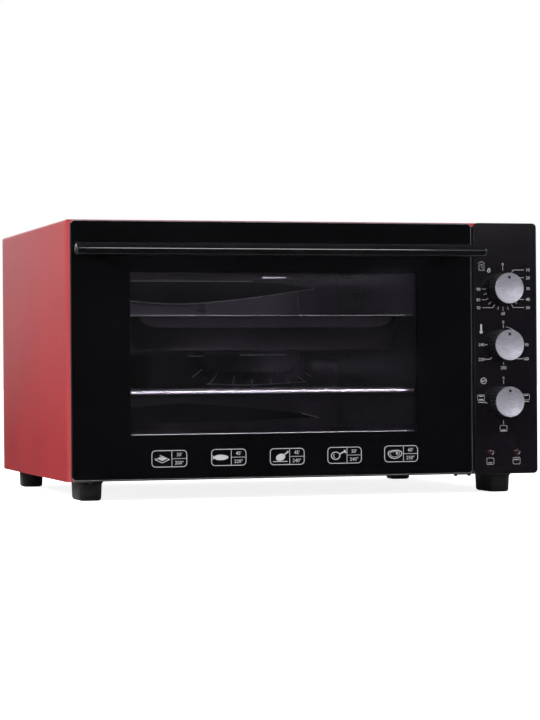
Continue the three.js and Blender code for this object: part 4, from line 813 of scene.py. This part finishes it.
def door_print():
    """Five guide boxes: a plain food sign, minutes and degrees."""
    ink = Print()
    boxes = [
        (91.8, 15.8, "30", "200", "bread"), (161.4, 16.2, "45", "220", "fish"), (230.8, 15.9, "45", "240", "bird"),
        (299.9, 16.2, "50", "240", "leg"), (368.9, 16.7, "60", "250", "steak"),
    ]
    wide, high, split = 40.6, 18.4, 23.2
    for left, rise, minutes, degrees, food in boxes:
        x0, z0 = left - 280, rise + 22
        x1, z1 = x0 + wide, z0 + high
        line = x0 + split
        ink.box(x0, z0, x1, z1, 4.2, 0.72)
        ink.line([(line, z0), (line, z1)], 0.58)
        ink.line([(line, z0 + high / 2), (x1, z0 + high / 2)], 0.5)
        ink.word((line + x1) / 2, z0 + 13.8, 3.9, minutes + "'")
        ink.word((line + x1) / 2, z0 + 4.6, 3.9, degrees + chr(176))
        food_sign(ink, food, x0 + 12.0, z0 + high / 2)
    ink.piece("door_print", F["print_ink"], "door", "door_glass", 0.0)


def food_sign(ink, food, x, z):
    def shifted(rows):
        return [(x + a, z + b) for a, b in rows]

    if food == "bread":
        ink.line(shifted([(-8, -1), (0, -4.6), (8, -1), (0, 2.6)]), 0.7, closed=True)
        ink.line(shifted([(-8, 0.8), (-8, -1)]), 0.7)
        ink.area(shifted([(-6.4, 0.4), (0, -2.4), (6.4, 0.4), (0, 3.4)]))
        ink.line(shifted([(-3, 4.2), (3.4, 1.4)]), 0.6)
    if food == "fish":
        body = [(8.6 * cos(t) - 0.6, 3.1 * sin(t) * (1 - 0.12 * cos(t))) for t in turns(22)]
        ink.area(shifted(body))
        ink.area(shifted([(-8.2, 0), (-11.2, 3.0), (-10.4, 0), (-11.2, -3.0)]))
    if food == "bird":
        body = [(5.6 * cos(t) + 0.4, 4.0 * sin(t) - 0.8 + 0.9 * cos(t)) for t in turns(22)]
        ink.area(shifted(body))
        ink.line(shifted([(4.2, 1.8), (8.2, 4.6)]), 1.3)
        ink.disc(x + 8.7, z + 5.0, 1.2, 10)
        ink.line(shifted([(-8.6, -5.6), (8.6, -5.6)]), 0.8)
    if food == "leg":
        ink.line(oval(x - 2.6, z - 0.4, 5.2, 4.2, 22), 0.9, closed=True)
        ink.line(shifted([(2.2, 1.4), (8.0, 4.2)]), 1.4)
        ink.disc(x + 8.4, z + 5.0, 1.2, 10)
        ink.disc(x + 9.2, z + 3.6, 1.2, 10)
        ink.arc(x - 2.6, z - 0.4, 2.4, 200, 320, 0.7, 10)
    if food == "steak":
        body = [
            (8.4 * cos(t) + 0.8 * cos(2 * t), 4.6 * sin(t) + 0.8 * sin(2 * t + 1))
            for t in turns(26)
        ]
        ink.line(shifted(body), 0.9, closed=True)
        ink.line(shifted([(0.72 * a, 0.66 * b) for a, b in body]), 0.5, closed=True)
        ink.disc(x + 3.2, z + 0.4, 1.3, 12)


panel_print()
door_print()


# ---- handle, knobs
def handle():
    low, high = span("handle_bar")
    radius = (high.z - low.z) / 2
    y, z = (low.y + high.y) / 2, (low.z + high.z) / 2
    end = [(0, 0.0), (0.35, 0.15), (0.62, 0.45), (0.82, 1.05), (0.94, 2.0), (0.985, 3.1), (1.0, 4.4)]
    rows = [(share * radius, low.x + d) for share, d in end]
    rows += [(share * radius, high.x - d) for share, d in reversed(end)]
    points, faces = turned(rows, 0, 0, 40)
    # the axis from front to back becomes the one across
    laid = []
    for p in points:
        p = p - at(0, 0, 0)
        laid.append(Vector((p.y, p.x, p.z)) + at(0, y, z))
    mesh = mesh_of("handle_bar_turned", laid, [f[::-1] for f in faces], crease=50)
    place(mesh, F["handle_gloss"], node="handle_bar")


handle()


RIBS, PER_RIB, RIB_DEPTH = 24, 8, 0.9  # ribs of a skirt, points round each, and how deep they are cut


def rib(k):
    return RIB_DEPTH * (0.5 - 0.5 * cos(tau * (k % PER_RIB) / PER_RIB)) ** 2


def knob(role):
    """Skirt with rounded ribs, a turned bright rim and a brushed disc with one dark dot."""
    low, high = span(f"{role}_knob")
    x, z = (low.x + high.x) / 2, (low.z + high.z) / 2
    outer, front, back = (high.x - low.x) / 2, low.y, high.y
    rows = [
        (0, front + 0.2), (17.3, front + 0.2), (17.45, front), (17.8, front), (17.98, front + 0.3),
        (outer, front + 0.8), (outer, front + 1.6, 1.0), (outer, back - 3.2, 1.0),
        (outer - 0.1, back - 2.4, 0.6), (outer, back - 1.9), (outer, back - 0.4), (outer - 0.5, back), (0, back),
    ]
    points, faces = turned(rows, x, z, RIBS * PER_RIB, rib)
    mesh = mesh_of(f"{role}_knob_skirt", points, faces, crease=48)
    place(mesh, F["knob_plastic"], node=f"{role}_knob")
    face = span(f"{role}_knob_cap")[0].y
    rows = [(0, face + 0.06), (17.25, face + 0.06), (17.4, face), (17.65, face + 0.04), (17.85, face + 0.3)]
    points, faces = turned(rows + [(17.88, face + 0.95)], x, z, 72)
    marks = [0 if len(corners) == 3 else 1 for corners in faces]  # the disc's triangles, then its rim
    mesh = mesh_of(f"{role}_knob_disc", points, faces, marks, crease=40)
    place(mesh, [F["knob_disc"], F["steel_rim"]], node=f"{role}_knob_cap")
    points, faces = turned([(0, face + 0.05), (1.85, face + 0.05), (2.05, face + 0.12)], x, z + 12.8, 20)
    mesh = mesh_of(f"{role}_knob_dot", points, faces)
    place(mesh, F["dot_black"], body=BODY[f"{role}_knob"], slot="knob_plastic")


for role in ROLES:
    knob(role)


# ---- rack and tray
RAIL, ROD, RODS, ROD_PITCH = 1.9, 1.0, 14, 27.3  # radii of the rack's wires, and its rods


def wire_rack():
    low, high = span("wire_rack")
    x0, x1, y0, y1 = low.x + RAIL, high.x - RAIL, low.y + RAIL, high.y - RAIL
    z = low.z + RAIL
    frame_path = [at(x, y, z) for x, y in rounded(x0, y0, x1, y1, 7, 6)]
    parts = [sweep(frame_path, RAIL, 16, closed=True)]
    wrap = RAIL + ROD - 0.5  # a rod's middle lies that far from the rail's
    bend = [radians(100 - 20 * k) for k in range(6)]
    for i in range(RODS):
        x = (x0 + x1) / 2 + ROD_PITCH * (i - (RODS - 1) / 2)
        near = [at(x, y0 - wrap * cos(a), z + wrap * sin(a)) for a in reversed(bend)]
        far = [at(x, y1 + wrap * cos(a), z + wrap * sin(a)) for a in bend]
        parts.append(sweep(near + far, ROD, 12))
    points, faces = joined(parts)
    # painted light and shade: the front rail and rod ends take the lit wire, the rest of the rack the shaded one
    behind = at(0, y0 + 5, 0).y
    marks = [1 if all(points[i].y > behind for i in face) else 0 for face in faces]
    mesh = mesh_of("wire_rack_bent", points, faces, marks, crease=60)
    place(mesh, [F["bright_wire"], F["shaded_wire"]], node="wire_rack")


wire_rack()


def baking_tray():
    low, high = span("baking_tray")
    top, bottom, sheet = high.z, low.z, 0.6
    # rows are the inset across, the inset in depth, the height and the corners' radius
    inner = [
        (0.35, 0.35, top, 4.4), (20.3, 7.3, top, 14), (21.4, 8.4, top - 0.35, 20), (22.0, 9.0, top - 1.4, 22),
        (31.4, 18.4, bottom + sheet + 3.2, 20), (32.4, 19.4, bottom + sheet + 1.2, 19),
        (34.0, 21.0, bottom + sheet + 0.25, 18), (36.0, 23.0, bottom + sheet, 17),
    ]
    under = [
        (36.0, 23.0, bottom, 17), (33.6, 20.6, bottom + 0.3, 18), (31.8, 18.8, bottom + 1.4, 19),
        (30.8, 17.8, bottom + 3.4, 20), (21.4, 8.4, top - 1.6, 22), (20.9, 7.9, top - 1.0, 20),
        (20.0, 7.0, top - sheet, 14), (0.35, 0.35, top - sheet, 4.4), (0, 0, top - sheet / 2, 4.6),
    ]
    rows = inner + under
    points = []
    for across, deep, z, radius in rows:
        plan = rounded(low.x + across, low.y + deep, high.x - across, high.y - deep, radius, 8)
        count = len(plan)
        points += [at(x, y, z) for x, y in plan]
    faces = ring_faces(count, len(inner))
    shift = len(inner) * count
    faces += [[i + shift for i in f] for f in ring_faces(count, len(under))]
    last = (len(rows) - 1) * count
    faces += [(last + i, last + (i + 1) % count, (i + 1) % count, i) for i in range(count)]
    faces.append(tuple(range((len(inner) - 1) * count, len(inner) * count)))
    faces.append(tuple(reversed(range(shift, shift + count))))
    mesh = mesh_of("baking_tray_pressed", points, faces, crease=40)
    outward(mesh)
    place(mesh, F["tray_enamel"], node="baking_tray")


baking_tray()


# ---- small parts seen through the window
def lamp_rims():
    # painted highlight: a pale quarter ring at the lower right of each lamp lens
    radius = 4.3
    for side in SIDES:
        lamp = middle(f"pilot_lamp_{side}")
        y = span(f"pilot_lamp_{side}")[0].y + 1.2
        turn = [radians(a) for a in range(-60, 1, 10)]
        arc = [(lamp.x + radius * cos(a), y, lamp.z + radius * sin(a)) for a in turn]
        wires(f"pilot_lamp_glint_{side}", [arc], 0.2, F["pale_glint"], "oven", "lamp_lens")


def cutout(name, plan, y0, y1, finish, body, slot):
    """A flat plate from its outline in the plane of the front."""
    count = len(plan)
    points = [at(x, y, z) for y in (y0, y1) for x, z in plan]
    flat = [Vector((x, z, 0)) for x, z in plan]
    faces = ring_faces(count, 2)
    for tri in tessellate_polygon([flat]):
        faces.append(tuple(tri))
        faces.append(tuple(i + count for i in reversed(tri)))
    mesh = mesh_of(name, points, faces, crease=30)
    outward(mesh)
    place(mesh, finish, body=body, slot=slot)


def wires(name, routes, radius, finish, body, slot, sides=8):
    points, faces = joined([sweep([at(*row) for row in route], radius, sides) for route in routes])
    place(mesh_of(name, points, faces, crease=60), finish, body=body, slot=slot)


def smooth(rows, steps=6):
    """More places along a curve through these."""
    out = []
    last = len(rows) - 1
    for i in range(last):
        a, b, c, d = (Vector(rows[max(0, min(last, k))]) for k in (i - 1, i, i + 1, i + 2))
        for k in range(steps):
            t = k / steps
            square, cube = 2 * a - 5 * b + 4 * c - d, 3 * b - a - 3 * c + d
            out.append(tuple(0.5 * (2 * b + (c - a) * t + square * t * t + cube * t ** 3)))
    return out + [tuple(rows[-1])]


def chamber_details():
    pale, dark, where = F["pale_glint"], F["dark_enamel_and_shade"], ("oven", "chamber_enamel")
    wall = span("chamber_back")[0].y
    cover = span("fan_cover")[0].y
    # air baffle under the roof, before the fan cover; pale wires along its lower edge and its top are painted
    # highlights
    hung = cover - 2.4
    low = smooth([
        (-224, 250), (-178, 241), (-130.5, 234.6), (-66.2, 231.0), (0.2, 235.9), (50, 242), (87.8, 247.4),
        (112, 250.5),
    ])
    top = [(112, 252), (60, 258), (-20, 260.2), (-224, 260.2)]
    cutout("roof_baffle", low + top, hung, hung + 0.6, dark, *where)
    wires("roof_baffle_glint", [[(x, hung, z) for x, z in low]], 0.85, pale, *where)
    wires("roof_fold_glint", [[(-224, hung, 260.4), (30, hung, 260.4)]], 0.5, pale, *where)
    # painted shade: a flat dark sheet low on the back wall, shaped like a drip recess, with a painted glint as a
    # short pale wire at its tip
    top = smooth([(-205, 93), (-170, 97.5), (-127.9, 99.8), (-54.3, 103.0), (34.8, 96.3), (100.9, 88.4), (122, 83.4)])
    under = [(80, 82.7), (34.3, 80.3), (-60, 78.6), (-205, 77.6)]
    cutout("drip_recess_shade", top + under, wall - 0.9, wall - 0.35, dark, *where)
    tip_glint = [(x, wall - 1.6, z) for x, z in ((100.9, 88.8), (112, 86.1), (124, 82.9))]
    wires("recess_tip_glint", [tip_glint], 0.8, pale, *where)
    # painted highlights: pale wires as clips on the fan cover, along the edges of its slots, and as a clip under the
    # upper heater
    clip_glints = [[(-59.0, 164.3), (-37.0, 164.3)], [(11.0, 165.6), (72.2, 165.6)]]
    wires("cover_clip_glints", [[(x, cover - 5, z) for x, z in clip] for clip in clip_glints], 0.9, pale, *where)
    edges = [
        [(-51.9, 136.8), (-37.9, 147.7)], [(-29.8, 128.7), (-23.5, 134.5), (-18.3, 142.1)],
        [(1.2, 127.1), (3.5, 132), (4.5, 138.1)], [(28.1, 134.3), (28.5, 126.8)],
        [(51.7, 134.1), (56.3, 126.6)], [(73.6, 133.9), (81.9, 127.6)],
        [(89.8, 137.4), (98.8, 131.2)], [(100.2, 141.6), (108.0, 137.3)],
        [(-32.6, 128.6), (20, 126.4), (101.8, 130.2)],
    ]
    wires("cover_slot_glints", [[(x, cover - 0.6, z) for x, z in edge] for edge in edges], 0.55, pale, *where)
    wires("heater_clip_glint", [[(-40.0, 60, 254.2), (-11.0, 60, 254.2)]], 1.1, pale, "oven", "bright_steel")
    # painted reflection: a pale wire along the foot of the window
    y, z = span("door_inner_glass")[0].y - 1.2, WINDOW[2] - 0.7
    strip = [(WINDOW[0] - 2, y, z), (WINDOW[1] + 2, y, z)]
    wires("window_foot_glint", [strip], 0.8, pale, "door", "door_glass")


def tray_skirt():
    """Painted highlight: a pale grey sheet on the tray's black front face, and a pale wire along its rim."""
    low, high = span("baking_tray")
    x0, x1, top, y = low.x + 36, high.x - 36, high.z - 0.7, low.y + 7
    drop = [(-26, -13.2), (-15, -12.4), (-6, -9), (-1.2, -4.6), (0, 0)]
    right = [(x1 + a, top + b) for a, b in drop]
    left = [(x0 + x1 - a, b) for a, b in reversed(right)]
    cutout("baking_tray_front_highlight", right + left, y - 0.7, y - 0.1, F["tray_highlight_grey"], "oven", "tray_enamel")
    rim = [(x, low.y - 0.3, high.z - 0.3) for x in (low.x + 5, high.x - 5)]
    wires("baking_tray_rim_glint", [rim], 0.5, F["pale_glint"], "oven", "tray_enamel")


lamp_rims()
chamber_details()
tray_skirt()


# ---- stage, light and camera
PAPER, FLOOR_GLOW, WORLD_LIGHT = 0.8, 0.85, 0.45


def staged(name, corners, build):
    """A flat card of the studio; build makes its material's nodes."""
    mesh = bpy.data.meshes.new(name)
    mesh.from_pydata(corners, [], [tuple(range(len(corners)))])
    material = bpy.data.materials.new(name)
    material.use_nodes = True
    material.node_tree.nodes.clear()
    nodes = Nodes(material.node_tree)
    output = nodes.node("ShaderNodeOutputMaterial")
    nodes.link(build(nodes).outputs[0], output.inputs["Surface"])
    mesh.materials.append(material)
    linked(name, mesh)


def floor_nodes(nodes):
    """White paper: it takes shadows, and shows as white to the camera."""
    paper = nodes.node("ShaderNodeBsdfDiffuse", Color=(PAPER, PAPER, PAPER, 1))
    glow = nodes.node("ShaderNodeEmission")
    ray = nodes.node("ShaderNodeLightPath")
    nodes.link(nodes.ramp(ray.outputs["Is Camera Ray"], 0, FLOOR_GLOW, 0, 1), glow.inputs["Strength"])
    total = nodes.node("ShaderNodeAddShader")
    nodes.link(paper.outputs[0], total.inputs[0])
    nodes.link(glow.outputs[0], total.inputs[1])
    return total


def mirrored(low, high=None, top=1.0):
    """A card that only mirrors see; its glow may rise from the floor up to a height."""

    def build(nodes):
        place = nodes.node("ShaderNodeTexCoord")
        split = nodes.node("ShaderNodeSeparateXYZ")
        nodes.link(place.outputs["Object"], split.inputs[0])
        glow = nodes.node("ShaderNodeEmission")
        nodes.link(nodes.ramp(split.outputs["Z"], low, high or low, 0, top), glow.inputs["Strength"])
        ray = nodes.node("ShaderNodeLightPath")
        return nodes.blend(ray.outputs["Is Glossy Ray"], nodes.node("ShaderNodeBsdfTransparent"), glow)

    return build


def upright(name, x0, y0, x1, y1, z0, z1, build):
    staged(name, [(x0, y0, z0), (x1, y1, z0), (x1, y1, z1), (x0, y0, z1)], build)


def level(name, x0, y0, x1, y1, z, build):
    staged(name, [(x0, y0, z), (x1, y0, z), (x1, y1, z), (x0, y1, z)], build)


REACH = 14.0
ON_FLOOR = 0.002
level("floor", -REACH, -REACH, REACH, REACH, 0, floor_nodes)
upright("flag_front", -3.6, -3.5, 3.6, -3.5, 0.0, 0.6, mirrored(0.012))
level("flag_floor", -0.7, -3.5, 3.6, FRONT - 0.02, ON_FLOOR, mirrored(0.012))
level("flag_top", -2.6, -3.4, 2.6, 2.4, 1.25, mirrored(0.02))
upright("card_front", 0.15, -3.4, 1.5, -3.4, 0.86, 1.24, mirrored(13.0))
upright("card_side", -3.4, 2.3, -0.32, 2.3, 0.0, 1.24, mirrored(0.05, 0.38, 0.5))
level("card_side_floor", -3.4, -0.1, -0.29, 2.3, ON_FLOOR, mirrored(0.06))


def world():
    """White to the camera and in mirrors and glass, and a weaker white as light."""
    studio = bpy.data.worlds.new("studio")
    bpy.context.scene.world = studio
    studio.use_nodes = True
    studio.node_tree.nodes.clear()
    nodes = Nodes(studio.node_tree)
    output = nodes.node("ShaderNodeOutputWorld")
    light = nodes.node("ShaderNodeBackground", Color=(1, 1, 1, 1))
    ray = nodes.node("ShaderNodeLightPath").outputs
    seen = nodes.math("MAXIMUM", ray["Is Camera Ray"], ray["Is Glossy Ray"])
    seen = nodes.math("MAXIMUM", seen, ray["Is Transmission Ray"])
    nodes.link(nodes.ramp(seen, WORLD_LIGHT, 1.0, 0, 1), light.inputs["Strength"])
    nodes.link(light.outputs[0], output.inputs["Surface"])


world()


def softbox(name, location, target, width, height, watts, spread=180):
    lamp = bpy.data.lights.new(name, "AREA")
    lamp.shape = "RECTANGLE"
    lamp.size, lamp.size_y = width, height
    lamp.energy = watts
    lamp.spread = radians(spread)
    box = linked(name, lamp)
    box.location = location
    box.rotation_euler = (Vector(target) - Vector(location)).to_track_quat("-Z", "Y").to_euler()
    return box


CENTRE = (0, 0, 0.16)
softbox("key", (-2.0, -1.0, 1.65), CENTRE, 1.3, 1.3, 36)
softbox("fill", (1.6, -1.5, 1.5), CENTRE, 1.2, 1.0, 14)
softbox("top", (0.1, -0.2, 2.1), CENTRE, 1.6, 1.2, 22)
softbox("side", (-1.4, 0.9, 0.95), (-0.28, 0.1, 0.25), 0.9, 0.6, 8)
INSIDE = -41  # the middle of the window, across
LONG = 0.33
for name, from_y, from_z, target, thick, watts, spread in (
    ("inner", 13, 256, (INSIDE, 40, 100), 0.008, 0.3, 180),
    ("inner_upper", 14, 250, (20, 370, 200), 0.01, 0.1, 180),
    ("inner_lower", 14, 150, (40, 370, 130), 0.01, 0.11, 180),
    ("inner_rail", 24.7, 127, (INSIDE, 28.9, 121), 0.003, 0.017, 60),
    ("inner_rim", 24.5, 214, (INSIDE, 27.5, 209), 0.003, 0.006, 60),
    ("inner_foot", 14, 78, (INSIDE, 18, 73.4), 0.003, 0.0045, 60),
):
    lamp = softbox(name, at(INSIDE, from_y, from_z), at(*target), LONG, thick, watts, spread)
    lamp.visible_camera = lamp.visible_glossy = lamp.visible_transmission = False

STAND = at(-822.92, -2675.65, 150.33)
LENS = 121.70
HEADING, PITCH, ROLL = -0.2817, 0.0027, 0.0075  # in radians
camera = bpy.data.cameras.new("camera")
camera.sensor_fit = "AUTO"
camera.sensor_width = 36
camera.lens = LENS
camera.clip_start, camera.clip_end = 0.05, 60
turn = Matrix.Identity(4)
for angle, axis in ((HEADING, "Z"), (PITCH, "X"), (ROLL, "Y"), (pi / 2, "X")):
    turn = turn @ Matrix.Rotation(angle, 4, axis)
eye = linked("camera", camera)
eye.matrix_world = Matrix.Translation(STAND) @ turn
bpy.context.scene.camera = eye
bpy.context.scene.view_settings.view_transform = "Standard"
